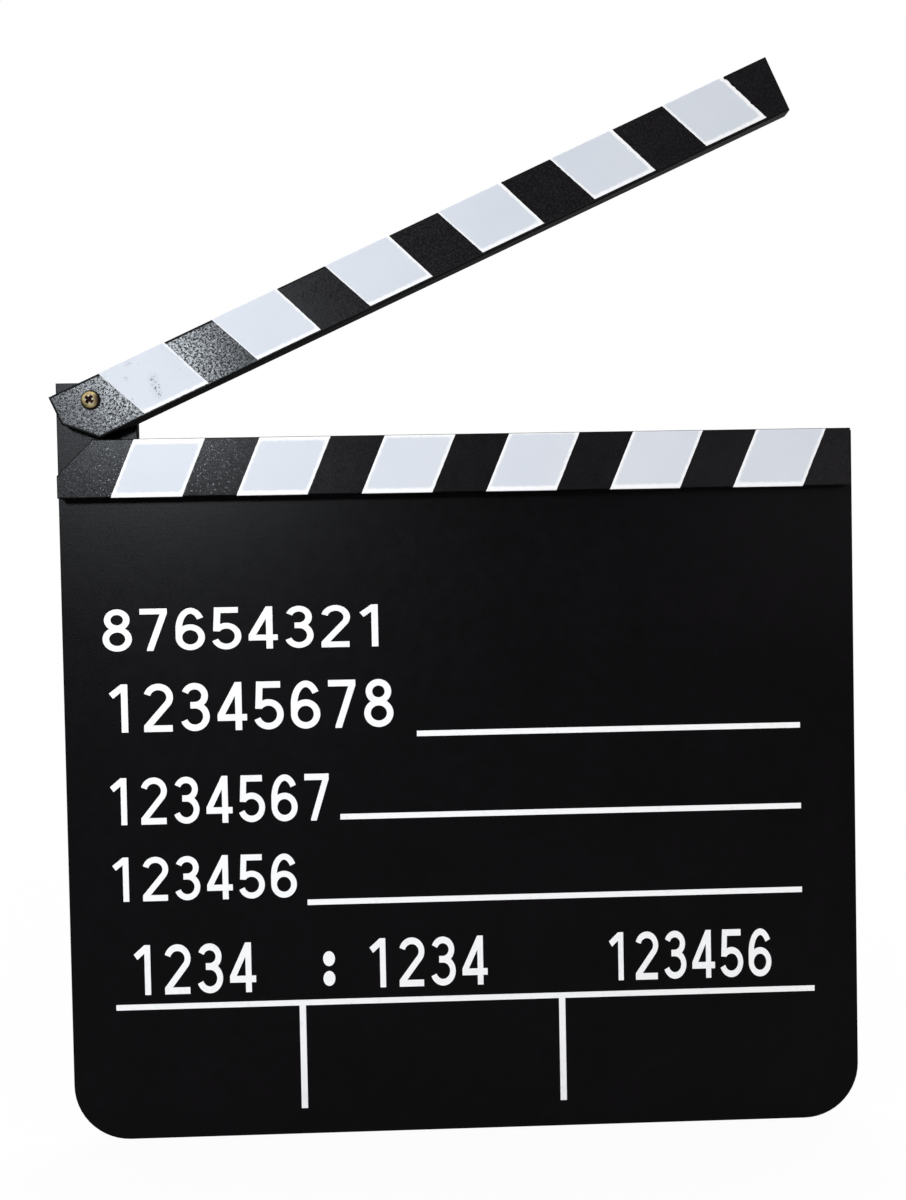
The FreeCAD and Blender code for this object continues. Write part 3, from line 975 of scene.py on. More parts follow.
@dataclass(frozen=True)
class BlockNumerals:
    """Plain block numerals, one unit high, drawn as strokes of one width."""

    width: float = 0.60
    stroke: float = 0.135
    gap: float = 0.15
    dot: Flat = (0.30, 0.215)
    lap_deg: float = 4.0
    arc_steps: int = 30
    weld: float = 1e-5

    def arc(self, centre: Flat, reach: Flat, start_deg: float, end_deg: float) -> Stroke:
        """Give points along a part of an ellipse.

        Args:
            centre: Its centre.
            reach: Its half width and half height.
            start_deg: The angle that it starts at.
            end_deg: The angle that it ends at.

        Returns:
            The points.
        """
        points = []
        for step in range(self.arc_steps + 1):
            angle = math.radians(start_deg + (end_deg - start_deg) * step / self.arc_steps)
            across = centre[0] + reach[0] * math.cos(angle)
            points.append((across, centre[1] + reach[1] * math.sin(angle)))
        return points

    def ring(self, centre: Flat, reach: Flat) -> list[Stroke]:
        """Give a whole ellipse as two strokes that overlap a little.

        Args:
            centre: Its centre.
            reach: Its half width and half height.

        Returns:
            The upper and the lower stroke.
        """
        lap = self.lap_deg
        upper = self.arc(centre, reach, -lap, 180.0 + lap)
        return [upper, self.arc(centre, reach, 180.0 - lap, 360.0 + lap)]

    def strokes(self, digit: str) -> list[Stroke]:
        """Give the middle lines of a numeral's strokes.

        Args:
            digit: A numeral from 1 to 8.

        Returns:
            One list of points for each stroke.
        """
        half = self.stroke / 2
        top = 1.0 - half
        match digit:
            case "1":
                return [[(0.36, 0.0), (0.36, 1.0)], [(0.3335, 0.946), (0.09, 0.761)]]
            case "2":
                bowl = self.arc((0.30, 0.715), (0.2325, 0.2175), 165.0, -35.0)
                return [bowl + [(0.052, 0.091)], [(0.0, half), (0.58, half)]]
            case "3":
                upper = self.arc((0.29, 0.735), (0.205, 0.1975), 160.0, -90.0)
                lower = self.arc((0.29, 0.3025), (0.2325, 0.235), 90.0, -160.0)
                return [upper, lower, [(0.20, 0.5375), (0.30, 0.5375)]]
            case "4":
                slope = [(0.4218, 0.9678), (0.0593, 0.3003)]
                return [[(0.43, 0.0), (0.43, 1.0)], slope, [(0.0, 0.265), (0.60, 0.265)]]
            case "5":
                bowl = self.arc((0.29, 0.315), (0.2425, 0.2475), 140.0, -160.0)
                return [[(0.05, top), (0.54, top)], [(0.1175, 1.0), (0.089, 0.434)], bowl]
            case "6":
                back = self.arc((0.31, 0.50), (0.2425, 0.4325), 180.0, 35.0)
                return self.ring((0.30, 0.305), (0.2325, 0.2375)) + [[(half, 0.305), (half, 0.51)], back]
            case "7":
                return [[(0.02, top), (0.58, top)], [(0.515, 0.90), (0.2215, 0.025), (0.2215, 0.0)]]
            case "8":
                upper_ring = self.ring((0.30, 0.7425), (0.195, 0.19))
                return upper_ring + self.ring((0.30, 0.2925), (0.2325, 0.225))
        raise ValueError(f"no strokes are drawn for {digit}")

    def ribbon(self, line: Stroke) -> Stroke:
        """Give the outline of a stroke of the numerals' width.

        Args:
            line: The stroke's middle line.

        Returns:
            The outline's points, all the way round.
        """
        left = []
        right = []
        for index, point in enumerate(line):
            before = Vector(line[max(index - 1, 0)])
            after = Vector(line[min(index + 1, len(line) - 1)])
            ahead = (after - before).normalized() * self.stroke / 2
            left.append((point[0] - ahead.y, point[1] + ahead.x))
            right.append((point[0] + ahead.y, point[1] - ahead.x))
        return right + left[::-1]

    def outlines(self, mark: str) -> list[Stroke]:
        """Give the outlines that fill a numeral, or the two dots one over the other.

        Args:
            mark: A numeral from 1 to 8, or a colon.

        Returns:
            One closed outline for each stroke or dot.
        """
        if mark == ":":
            middle = self.width / 2
            levels = (self.dot[1], 1.0 - self.dot[1])
            return [self.arc((middle, level), self.dot, 0.0, 360.0)[:-1] for level in levels]
        return [self.ribbon(line) for line in self.strokes(mark)]

    def fill(self, mark: str) -> tuple[list[Vector], list[list[int]]]:
        """Fill one numeral with triangles, with its strokes joined into one sheet.

        Args:
            mark: A numeral from 1 to 8, or a colon.

        Returns:
            The sheet's points and triangles.
        """
        points: list[Vector] = []
        outlines: list[list[int]] = []
        for outline in self.outlines(mark):
            outlines.append(list(range(len(points), len(points) + len(outline))))
            points.extend(Vector(point) for point in outline)
        filled = delaunay_2d_cdt(points, [], outlines, 0, self.weld)
        triangles = [face for face, strokes in zip(filled[2], filled[5]) if strokes]
        return filled[0], triangles

    def span(self, digits: str) -> float:
        """Give how wide a run of numerals is."""
        return len(digits) * self.width + (len(digits) - 1) * self.gap


@dataclass(frozen=True)
class NumeralRun:
    """One run of plain numerals printed on the board, by its ends and its baseline."""

    name: str
    digits: str
    left: float
    right: float
    baseline: float
    height: float


@dataclass
class SlateBoard:
    """The board panel with its ruled lines and printed numerals."""

    print_thickness: float = 0.12 * MM
    numerals: BlockNumerals = BlockNumerals()
    rules: tuple[str, ...] = ("row_line_1", "row_line_2", "row_line_3", "table_line",
                              "column_line_1", "column_line_2")
    runs: tuple[NumeralRun, ...] = (
        NumeralRun("numerals_title", "87654321", 15.1 * MM, 121.7 * MM, 185.5 * MM, 15.9 * MM),
        NumeralRun("numerals_row_1", "12345678", 16.0 * MM, 123.7 * MM, 154.9 * MM, 18.2 * MM),
        NumeralRun("numerals_row_2", "1234567", 15.6 * MM, 99.0 * MM, 119.9 * MM, 17.8 * MM),
        NumeralRun("numerals_row_3", "123456", 15.7 * MM, 85.8 * MM, 90.8 * MM, 16.8 * MM),
        NumeralRun("numerals_column_1", "1234", 22.9 * MM, 69.6 * MM, 55.1 * MM, 19.0 * MM),
        NumeralRun("column_dots", ":", 95.1 * MM, 99.6 * MM, 56.6 * MM, 13.3 * MM),
        NumeralRun("numerals_column_2", "1234", 112.0 * MM, 157.6 * MM, 55.5 * MM, 18.8 * MM),
        NumeralRun("numerals_column_3", "123456", 203.5 * MM, 266.7 * MM, 55.6 * MM, 18.5 * MM),
    )

    def build(self, nodes: dict[str, bpy.types.Object], datum: Datum) -> list[bpy.types.Object]:
        """Dress the panel and its lines and print the numerals.

        Args:
            nodes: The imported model's nodes.
            datum: The places that the print is set to.

        Returns:
            The pieces, new and carried over.
        """
        refinish(nodes["board_panel"], replace(BOARD_BLACK, pivot_centre=datum.on_board_face()).build())
        white = PrintWhite().build()
        pieces = [nodes["board_panel"]]
        for name in self.rules:
            refinish(nodes[name], white)
            pieces.append(nodes[name])
        for run in self.runs:
            numerals = self.print_run(run, datum)
            dress(numerals, white)
            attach(numerals, Body.BOARD.value)
            pieces.append(numerals)
        return pieces

    def print_run(self, run: NumeralRun, datum: Datum) -> bpy.types.Object:
        """Make one run of numerals as a thin solid on the board's face.

        Args:
            run: What is printed, and where.
            datum: The places that the print is set to.

        Returns:
            The new piece.
        """
        widen = (run.right - run.left) / self.numerals.span(run.digits)
        work = bmesh.new()
        for index, digit in enumerate(run.digits):
            start = index * (self.numerals.width + self.numerals.gap)
            points, triangles = self.numerals.fill(digit)
            made = {}
            for triangle in triangles:
                for corner in triangle:
                    if corner not in made:
                        across = datum.board_left + run.left + (start + points[corner].x) * widen
                        up = run.baseline + points[corner].y * run.height
                        made[corner] = work.verts.new((across, datum.board_front, up))
                work.faces.new([made[corner] for corner in triangle])
        sheet = bmesh.ops.extrude_face_region(work, geom=work.faces[:])
        raised = [item for item in sheet["geom"] if isinstance(item, bmesh.types.BMVert)]
        bmesh.ops.translate(work, verts=raised, vec=(0.0, -self.print_thickness, 0.0))
        bmesh.ops.recalc_face_normals(work, faces=work.faces[:])
        mesh = bpy.data.meshes.new(run.name)
        work.to_mesh(mesh)
        work.free()
        return new_piece(run.name, mesh)


@dataclass(frozen=True)
class StickFace:
    """Where a stick's painted face lies, how its stripes run and how far they stop short of its edges.

    A margin below the rounding of the edge lets the paint run over that rounding.
    """

    level: Level
    body: Body
    origin: Point
    along: Point
    away: Point
    clap_margin: float
    outer_margin: float
    first_stripe: float
    pitch: float
    white: float
    shrink: float
    slants: Flat
    length: float
    cut: float
    rims: tuple[float, float, float, float]
    rim_steps: tuple[float, float, float, float]
    rim_soft_mm: float = 0.4
    rim_floor: float = -6.0

    def sides(self, width: float) -> tuple[Side, ...]:
        """Give the sides of the stick's face.

        Args:
            width: The stick's width.

        Returns:
            Its four sides and the cut at its hinge end.
        """
        origin = Vector(self.origin)
        along = Vector(self.along)
        away = Vector(self.away)
        slope = (along + away).normalized()
        ways = (
            (away, origin),
            (-away, origin + away * width),
            (along, origin),
            (-along, origin + along * self.length),
            (slope, origin + along * self.cut),
        )
        return tuple(Side(way.x, way.z, way.dot(point) / MM) for way, point in ways)

    def rim(self, number: int, insets: tuple[float, float, float, float]) -> float:
        """Give how far inside a stripe's clean rim a point lies, in millimetres, negative in its middle.

        Args:
            number: The stripe's number.
            insets: The distances from its left, right, clapping and outer side.

        Returns:
            The distance, rounded off at the corners.
        """
        reach = [rim + (number - 1) * step for rim, step in zip(self.rims, self.rim_steps)]
        soft = self.rim_soft_mm
        total = sum(math.exp((side - inset) / MM / soft) for side, inset in zip(reach, insets))
        return soft * math.log(total + math.exp(self.rim_floor))

    def width(self, number: int) -> float:
        """Give the width of a stripe, which loses a little from one to the next."""
        return self.white - (number - 1) * self.shrink

    def start(self, number: int) -> float:
        """Give where a stripe starts at the clapping edge."""
        return self.first_stripe + (number - 1) * self.pitch

    def point(self, along: float, away: float, out: float) -> Vector:
        """Give the point at a place along and across the stick and in front of its face."""
        place = Vector(self.origin) + Vector(self.along) * along + Vector(self.away) * away
        return place + Vector((0.0, -out, 0.0))


@dataclass(frozen=True)
class ScuffMark:
    """One scuffed spot of a stripe: its middle and its reach along and across the stick, in millimetres."""

    along: float
    away: float
    reach: Flat
    lean: float = 0.0
    blunt: int = 2
    depth: float = 1.0

    def at(self, along: float, away: float) -> float:
        """Give how scuffed a point is by this mark.

        Args:
            along: The point's place along the stick, in millimetres.
            away: Its distance from the clapping edge, in millimetres.

        Returns:
            A value that is the mark's depth in its middle and fades to nothing round it.
        """
        aside = (along - self.along - self.lean * away) / self.reach[0]
        off = (away - self.away) / self.reach[1]
        return self.depth * math.exp(-aside ** 2 - off ** self.blunt)


@dataclass
class ClapSticks:
    """The fixed and the pivoted stick with their painted white stripes."""

    stripe_count: int = 6
    scuffed_stripe: int = 1
    hinge_end: float = 13.6 * MM
    pivot_lift: float = 13.9 * MM
    stick_width: float = 21.5 * MM
    edge_round: float = 0.35 * MM
    edge_turns: int = 4
    film: float = 0.01 * MM
    paint: float = 0.10 * MM
    lip: float = 0.12 * MM
    ridge: float = 0.035 * MM
    ridge_place: float = 0.8 * MM
    ridge_reach_share: float = 0.6
    end_inset: float = 0.15 * MM
    row_step: float = 0.6 * MM
    column_step: float = 0.7 * MM
    edge_steps_mm: tuple[float, ...] = (0.0, 0.06, 0.14, 0.26, 0.45, 0.75, 1.1, 1.6, 2.2)
    smooth_deg: float = 40.0
    wander: float = 0.10 * MM
    wander_wave: float = 1.6 * MM
    chip: float = 0.9 * MM
    chip_wave: float = 1.1 * MM
    chip_level: float = 0.15
    chip_seed: float = 9.0
    stripe_seed: float = 7.0
    right_seed: float = 3.5
    upper_seed: float = 50.0
    soil: float = 0.25
    scuff_marks: tuple[ScuffMark, ...] = (
        ScuffMark(35.9, 8.2, (2.3, 5.8), lean=0.16, blunt=4),
        ScuffMark(31.8, 20.2, (1.8, 1.2)),
        ScuffMark(29.0, 15.5, (0.6, 0.6), depth=2.2),
        ScuffMark(36.8, 8.6, (0.6, 0.6), depth=1.6),
    )

    def build(self, nodes: dict[str, bpy.types.Object], datum: Datum) -> list[bpy.types.Object]:
        """Dress both sticks and paint their stripes.

        Args:
            nodes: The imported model's nodes.
            datum: The places that the stripes are set to.

        Returns:
            The pieces, new and carried over.
        """
        lower, upper = self.faces(datum)
        lower_black = replace(LOWER_BLACK, outline=lower.sides(self.stick_width))
        upper_black = replace(
            UPPER_BLACK, outline=upper.sides(self.stick_width), pivot_centre=datum.on_upper_face())
        refinish(nodes["lower_stick"], lower_black.build())
        refinish(nodes["upper_stick"], upper_black.build())
        pieces = [nodes["lower_stick"], nodes["upper_stick"]]
        for face, paint in ((lower, LOWER_WHITE), (upper, UPPER_WHITE)):
            white = paint.build()
            for number in range(1, self.stripe_count + 1):
                stripe = self.paint_stripe(face, number)
                dress(stripe, white)
                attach(stripe, face.body.value)
                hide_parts(f"{face.level.value}_stripe_{number}")
                pieces.append(stripe)
        return pieces

    def faces(self, datum: Datum) -> tuple[StickFace, StickFace]:
        """Give the lower and the upper stick's faces, each from its hinge end and its clapping edge.

        Args:
            datum: The places of the pivot and of both sticks.

        Returns:
            The lower and the upper face.
        """
        turn = math.radians(OPEN_DEG)
        along = Vector((math.cos(turn), 0.0, math.sin(turn)))
        away = Vector((-math.sin(turn), 0.0, math.cos(turn)))
        upper_start = Vector(datum.on_upper_face()) - along * self.hinge_end - away * self.pivot_lift
        lower = StickFace(Level.LOWER, Body.BOARD, datum.lower_start, (1.0, 0.0, 0.0), (0.0, 0.0, -1.0),
                          clap_margin=0.25 * MM, outer_margin=0.02 * MM, first_stripe=28.65 * MM,
                          pitch=46.26 * MM, white=26.22 * MM, shrink=0.0, slants=(9.05 * MM, 9.0 * MM),
                          length=295.4 * MM, cut=13.2 * MM,
                          rims=(1.0 * MM, 1.1 * MM, 1.8 * MM, 1.6 * MM),
                          rim_steps=(0.0, 0.0, -0.5 * MM, 0.0))
        upper = StickFace(Level.UPPER, Body.CLAPPER, tuple(upper_start), tuple(along), tuple(away),
                          clap_margin=1.05 * MM, outer_margin=0.02 * MM, first_stripe=29.65 * MM,
                          pitch=46.14 * MM, white=26.1 * MM, shrink=0.27 * MM, slants=(9.3 * MM, 8.7 * MM),
                          length=293.9 * MM, cut=10.5 * MM,
                          rims=(0.1 * MM, 0.5 * MM, 1.1 * MM, -1.0 * MM),
                          rim_steps=(0.12 * MM, 0.18 * MM, 0.04 * MM, 0.0))
        return lower, upper

    def section(self, face: StickFace) -> list[tuple[float, float, float]]:
        """Give the way across a stick's face, over its rounded edges, that the paint follows.

        Args:
            face: The stick's face.

        Returns:
            For each step, the distance from the clapping edge, the distance in front of the face and the
            angle, in radians, at which the surface leans outward, negative at the clapping edge.
        """
        near = max(face.clap_margin, self.edge_round)
        far = self.stick_width - max(face.outer_margin, self.edge_round)
        count = round((far - near) / self.row_step)
        flat = [(near + (far - near) * step / count, 0.0, 0.0) for step in range(count + 1)]
        clap_steps = self.over_edge(face.clap_margin)
        clap_side = [(self.edge_round - out, sink, -angle) for out, sink, angle in clap_steps]
        outer_start = self.stick_width - self.edge_round
        outer_steps = self.over_edge(face.outer_margin)
        outer_side = [(outer_start + out, sink, angle) for out, sink, angle in outer_steps]
        return clap_side[::-1] + flat + outer_side

    def over_edge(self, margin: float) -> list[tuple[float, float, float]]:
        """Give the paint's way over a rounded edge, from the flat outward.

        Args:
            margin: How far the paint stops short of the stick's side.

        Returns:
            For each step, the distance outward, the distance in front of the face and the angle of lean.
            It is empty where the paint stops on the flat.
        """
        if margin >= self.edge_round:
            return []
        end = math.asin((self.edge_round - margin) / self.edge_round)
        angles = [end * turn / self.edge_turns for turn in range(1, self.edge_turns + 1)]
        return [
            (self.edge_round * math.sin(angle), self.edge_round * (math.cos(angle) - 1.0), angle)
            for angle in angles
        ]

    def columns(self, width: float) -> list[float]:
        """Give the steps across a stripe, close together at both of its sides.

        Args:
            width: The stripe's width.

        Returns:
            The distances from its left side.
        """
        left = [step * MM for step in self.edge_steps_mm]
        count = round((width - 2.0 * left[-1]) / self.column_step)
        middle = [left[-1] + (width - 2.0 * left[-1]) * step / count for step in range(1, count)]
        return left + middle + [width - step for step in reversed(left)]

    def thickness(self, inset: float) -> float:
        """Give the paint's thickness: a thin lip at its edge, a fat ridge behind it, then level.

        Args:
            inset: The distance from the paint's edge.

        Returns:
            The thickness.
        """
        level = self.paint * (1.0 - math.exp(-inset / self.lip))
        fat = math.exp(-((inset - self.ridge_place) / (self.ridge_reach_share * self.ridge_place)) ** 2)
        return self.film + level + self.ridge * fat

    def side_shift(self, face: StickFace, number: int, away: float, right: bool) -> float:
        """Give how far a stripe's slanted side strays from its straight line.

        Args:
            face: The stick's face.
            number: The stripe's number.
            away: The distance from the clapping edge.
            right: Whether it is the right side.

        Returns:
            The shift along the stick.
        """
        upper = face.level is Level.UPPER
        seed = number * self.stripe_seed
        seed += self.right_seed if right else 0.0
        seed += self.upper_seed if upper else 0.0
        shift = self.wander * noise.noise(Vector((away / self.wander_wave, seed, 0.0)))
        if right and upper and number == self.stripe_count:
            bite = noise.noise(Vector((away / self.chip_wave, seed, self.chip_seed))) - self.chip_level
            shift -= self.chip * max(bite, 0.0)
        return shift

    def paint_stripe(self, face: StickFace, number: int) -> bpy.types.Object:
        """Make one stripe as a thin coat of paint that follows the stick's face.

        Args:
            face: The stick's face.
            number: The stripe's number, from the hinge.

        Returns:
            The new piece.
        """
        start = face.start(number)
        width = face.width(number)
        path = self.section(face)
        outer = []
        inner = []
        rims = []
        scuffs = []
        for away, sink, lean in path:
            left = self.side_shift(face, number, away, right=False)
            left -= face.slants[0] * away / self.stick_width
            right = self.side_shift(face, number, away, right=True)
            right -= face.slants[1] * away / self.stick_width
            row_out = []
            row_in = []
            ends = min(away - path[0][0], path[-1][0] - away)
            for column in self.columns(width):
                share = column / width
                along = start + column + left * (1.0 - share) + right * share
                coat = self.thickness(min(column, width - column, ends + self.end_inset))
                row_in.append(face.point(along, away, sink))
                over = away + coat * math.sin(lean)
                row_out.append(face.point(along, over, sink + coat * math.cos(lean)))
                insets = (column, width - column, away - path[0][0], path[-1][0] - away)
                rims.append(face.rim(number, insets))
                scuffs.append(self.scuff(face, number, along, away))
            outer.append(row_out)
            inner.append(row_in)
        name = f"{face.level.value}_stripe_paint_{number}"
        mesh = skin(outer, inner).mesh(name)
        for mark, values in ((Mark.RIM, rims), (Mark.SCUFF, scuffs)):
            layer = mesh.attributes.new(mark.value, "FLOAT", "POINT")
            layer.data.foreach_set("value", values + values)
        return new_piece(name, mesh, self.smooth_deg)

    def scuff(self, face: StickFace, number: int, along: float, away: float) -> float:
        """Give how scuffed a point of a stripe is. Only the upper stripe nearest the pivot is.

        Args:
            face: The stick's face.
            number: The stripe's number.
            along: The point's place along the stick.
            away: Its distance from the clapping edge.

        Returns:
            0 where the stripe is clean, 1 and more where it is scuffed most.
        """
        if face.level is not Level.UPPER or number != self.scuffed_stripe:
            return 0.0
        marks = [mark.at(along / MM, away / MM) for mark in self.scuff_marks]
        return max(self.soil, *marks)


@dataclass
class PivotFastener:
    """The screw, washer and nut that hold the upper stick on the ear."""

    head_radius: float = 3.3 * MM
    head_height: float = 2.1 * MM
    head_rim: float = 0.8 * MM
    head_ease: float = 0.3 * MM
    crown_steps: int = 12
    ease_steps: int = 6
    seat_bevel: float = 0.12 * MM
    shank_radius: float = 1.6 * MM
    thread_root: float = 1.3 * MM
    thread_pitch: float = 0.6 * MM
    thread_step: float = 0.075 * MM
    thread_steepness: float = 1.3
    thread_root_share: float = 0.15
    tip_bevel: float = 0.4 * MM
    recess_turn_deg: float = 52.0
    wing_top: Flat = (2.10 * MM, 0.66 * MM)
    wing_bottom: Flat = (0.95 * MM, 0.46 * MM)
    recess_depth: float = 1.5 * MM
    recess_overrun: float = 0.2 * MM
    well_radius: float = 1.15 * MM
    well_tip: float = 0.60 * MM
    well_lift: float = 0.05 * MM
    well_sides: int = 16
    washer_ease: float = 0.15 * MM
    washer_ease_steps: int = 4
    washer_bore: float = 1.8 * MM
    nut_sides: int = 6
    nut_flats: float = 6.35 * MM
    nut_turn_deg: float = 52.0
    nut_corner_drop: float = 0.45 * MM
    bore_lead: float = 0.3 * MM
    bore_overrun: float = 0.1 * MM
    steps: int = 64
    smooth_deg: float = 35.0

    def build(self, nodes: dict[str, bpy.types.Object], datum: Datum) -> list[bpy.types.Object]:
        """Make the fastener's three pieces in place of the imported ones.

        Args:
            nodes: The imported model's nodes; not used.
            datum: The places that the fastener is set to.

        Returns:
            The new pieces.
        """
        plate = YellowZinc().build()
        stain_and_shade = RecessBrownAndShade().build()
        meshes = {
            "pivot_screw": self.screw(plate, stain_and_shade),
            "back_washer": self.washer(),
            "pivot_nut": self.nut(),
        }
        pieces = []
        for node, mesh in meshes.items():
            mesh.transform(Matrix.Translation((datum.pivot[0], 0.0, datum.pivot[2])))
            piece = new_piece(f"{node}_plated", mesh, self.smooth_deg)
            if not mesh.materials:
                dress(piece, plate)
            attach(piece, Body.BOARD.value)
            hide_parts(node)
            pieces.append(piece)
        return pieces

    def level(self, radius: float, depth: float) -> list[Flat]:
        """Give one round row of a turned piece."""
        return [(radius, depth)] * self.steps

    def screw(self, plate: bpy.types.Material, stain_and_shade: bpy.types.Material) -> bpy.types.Mesh:
        """Make the pan head screw: turned head and shank, rolled thread, driven cross recess.

        Args:
            plate: The finish of the screw.
            stain_and_shade: The finish of the recess, dark brown with painted shade.

        Returns:
            The screw's mesh on its own axis.
        """
        low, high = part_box("pivot_screw")
        seat = low.y + self.head_height
        rows = self.head_rows(seat)
        thread_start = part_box("back_washer")[0].y
        rows += [self.level(self.shank_radius, seat), self.level(self.shank_radius, thread_start)]
        rows += self.thread_rows(thread_start, high.y)
        mesh = turned(rows).mesh("screw")
        for material in (plate, stain_and_shade):
            mesh.materials.append(material)
        for turn in (self.recess_turn_deg, self.recess_turn_deg + 90.0):
            mesh = worked(mesh, self.wing(low.y, turn, (plate, stain_and_shade)), Joinery.CUT)
        return worked(mesh, self.well(low.y, (plate, stain_and_shade)), Joinery.CUT)

    def head_rows(self, seat: float) -> list[list[Flat]]:
        """Give the head's rows, from the middle of its crown to the seat under it.

        Args:
            seat: The depth of the seat.

        Returns:
            The rows.
        """
        rise = self.head_height - self.head_rim
        crown = (self.head_radius ** 2 + rise ** 2) / (2.0 * rise)
        centre = seat - self.head_height + crown
        ease_radius = self.head_radius - self.head_ease
        meet = math.asin(ease_radius / (crown - self.head_ease))
        ease_depth = centre - (crown - self.head_ease) * math.cos(meet)
        rows = []
        for step in range(1, self.crown_steps + 1):
            angle = meet * step / self.crown_steps
            rows.append(self.level(crown * math.sin(angle), centre - crown * math.cos(angle)))
        for step in range(1, self.ease_steps + 1):
            angle = meet + (math.pi / 2 - meet) * step / self.ease_steps
            out = ease_radius + self.head_ease * math.sin(angle)
            rows.append(self.level(out, ease_depth - self.head_ease * math.cos(angle)))
        rows.append(self.level(self.head_radius, seat - self.seat_bevel))
        rows.append(self.level(self.head_radius - self.seat_bevel, seat))
        return rows

    def thread_rows(self, start: float, tip: float) -> list[list[Flat]]:
        """Give the rows of the rolled thread, run out at its start and bevelled at the tip.

        Args:
            start: The depth at which the thread starts.
            tip: The depth of the screw's end.

        Returns:
            The rows.
        """
        count = round((tip - start) / self.thread_step)
        rows = []
        for step in range(1, count + 1):
            depth = start + (tip - start) * step / count
            run_in = min(1.0, (depth - start) / self.thread_pitch)
            limit = self.shank_radius - max(0.0, depth - tip + self.tip_bevel)
            row = []
            for index in range(self.steps):
                phase = (depth / self.thread_pitch - index / self.steps) % 1.0
                rise = self.thread_steepness * abs(2.0 * phase - 1.0) - self.thread_root_share
                flank = min(1.0, max(0.0, rise))
                groove = (self.shank_radius - self.thread_root) * (1.0 - flank) * run_in
                row.append((min(limit, self.shank_radius - groove), depth))
            rows.append(row)
        return rows

    def wing(self, top: float, turn_deg: float, finishes: tuple[bpy.types.Material, ...]) -> bpy.types.Mesh:
        """Make the tapered bit that presses one slot of the cross recess.

        Args:
            top: The depth of the crown's middle.
            turn_deg: The slot's turn, as the front shows it.
            finishes: The screw's finishes, of which the last is the recess's.

        Returns:
            The bit's mesh.
        """
        ends = (
            (self.wing_top, top - self.recess_overrun),
            (self.wing_bottom, top + self.recess_depth),
        )
        shape = Shape()
        for (reach, half), depth in ends:
            for across, up in ((-reach, -half), (reach, -half), (reach, half), (-reach, half)):
                shape.points.append(Vector((across, depth, up)))
        shape.faces = [(0, 1, 2, 3), (4, 5, 6, 7), (0, 1, 5, 4), (1, 2, 6, 5), (2, 3, 7, 6), (3, 0, 4, 7)]
        return self.finished_bit(shape.spun(turn_deg), finishes)

    def well(self, top: float, finishes: tuple[bpy.types.Material, ...]) -> bpy.types.Mesh:
        """Make the cone that opens the middle of the cross recess, just short of the slots' floor.

        Args:
            top: The depth of the crown's middle.
            finishes: The screw's finishes, of which the last is the recess's.

        Returns:
            The cone's mesh.
        """
        mouth = (self.well_radius, top - self.recess_overrun)
        tip = (self.well_tip, top + self.recess_depth - self.well_lift)
        rows = [[mouth] * self.well_sides, [tip] * self.well_sides]
        return self.finished_bit(turned(rows), finishes)

    def finished_bit(self, shape: Shape, finishes: tuple[bpy.types.Material, ...]) -> bpy.types.Mesh:
        """Make a bit's mesh, whose cuts get the last of the finishes.

        Args:
            shape: The bit's points and faces.
            finishes: The finishes of the piece that it cuts.

        Returns:
            The bit's mesh.
        """
        mesh = shape.mesh("recess_bit")
        for material in finishes:
            mesh.materials.append(material)
        for polygon in mesh.polygons:
            polygon.material_index = len(finishes) - 1
        return mesh

    def washer(self) -> bpy.types.Mesh:
        """Make the stamped washer, with its edges rounded.

        Returns:
            The washer's mesh on its own axis.
        """
        low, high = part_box("back_washer")
        outside = (high.x - low.x) / 2
        rows = [self.level(self.washer_bore, high.y), self.level(self.washer_bore, low.y)]
        for middle, first in ((low.y + self.washer_ease, -90.0), (high.y - self.washer_ease, 0.0)):
            for step in range(self.washer_ease_steps + 1):
                angle = math.radians(first + 90.0 * step / self.washer_ease_steps)
                radius = outside - self.washer_ease + self.washer_ease * math.cos(angle)
                rows.append(self.level(radius, middle + self.washer_ease * math.sin(angle)))
        return turned(rows, looped=True).mesh("washer")

    def nut(self) -> bpy.types.Mesh:
        """Make the hexagon nut: both faces turned to a bevel, a bore and its countersinks.

        Returns:
            The nut's mesh on its own axis.
        """
        low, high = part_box("pivot_nut")
        flat = self.nut_flats / 2
        corner = flat / math.cos(math.pi / self.nut_sides)
        sides = [[(corner, low.y)] * self.nut_sides, [(corner, high.y)] * self.nut_sides]
        mesh = turned(sides).spun(self.nut_turn_deg).mesh("nut")
        over = corner + self.nut_corner_drop
        drop = self.nut_corner_drop * (over - flat) / (corner - flat)
        barrel = [
            self.level(flat, low.y),
            self.level(over, low.y + drop),
            self.level(over, high.y - drop),
            self.level(flat, high.y),
        ]
        mesh = worked(mesh, turned(barrel).mesh("nut_barrel"), Joinery.KEEP_COMMON)
        mouth = self.shank_radius + self.bore_lead + self.bore_overrun
        bore = [
            self.level(mouth, low.y - self.bore_overrun),
            self.level(self.shank_radius, low.y + self.bore_lead),
            self.level(self.shank_radius, high.y - self.bore_lead),
            self.level(mouth, high.y + self.bore_overrun),
        ]
        return worked(mesh, turned(bore).mesh("nut_bore"), Joinery.CUT)


@dataclass(frozen=True)
class Lamp:
    """One soft rectangular lamp: its place, the point that it is turned to, its size, watts and tint."""

    name: str
    place: Point
    target: Point
    size: Flat
    power: float
    tint: Colour = (1.0, 1.0, 1.0)

    def hang(self) -> None:
        """Hang the lamp in the scene."""
        light = bpy.data.lights.new(self.name, "AREA")
        light.shape = "RECTANGLE"
        light.size = self.size[0]
        light.size_y = self.size[1]
        light.energy = self.power
        light.color = self.tint
        holder = bpy.data.objects.new(self.name, light)
        holder.location = self.place
        aim = Vector(self.target) - Vector(self.place)
        holder.rotation_euler = aim.to_track_quat("-Z", "Y").to_euler()
        bpy.context.scene.collection.objects.link(holder)


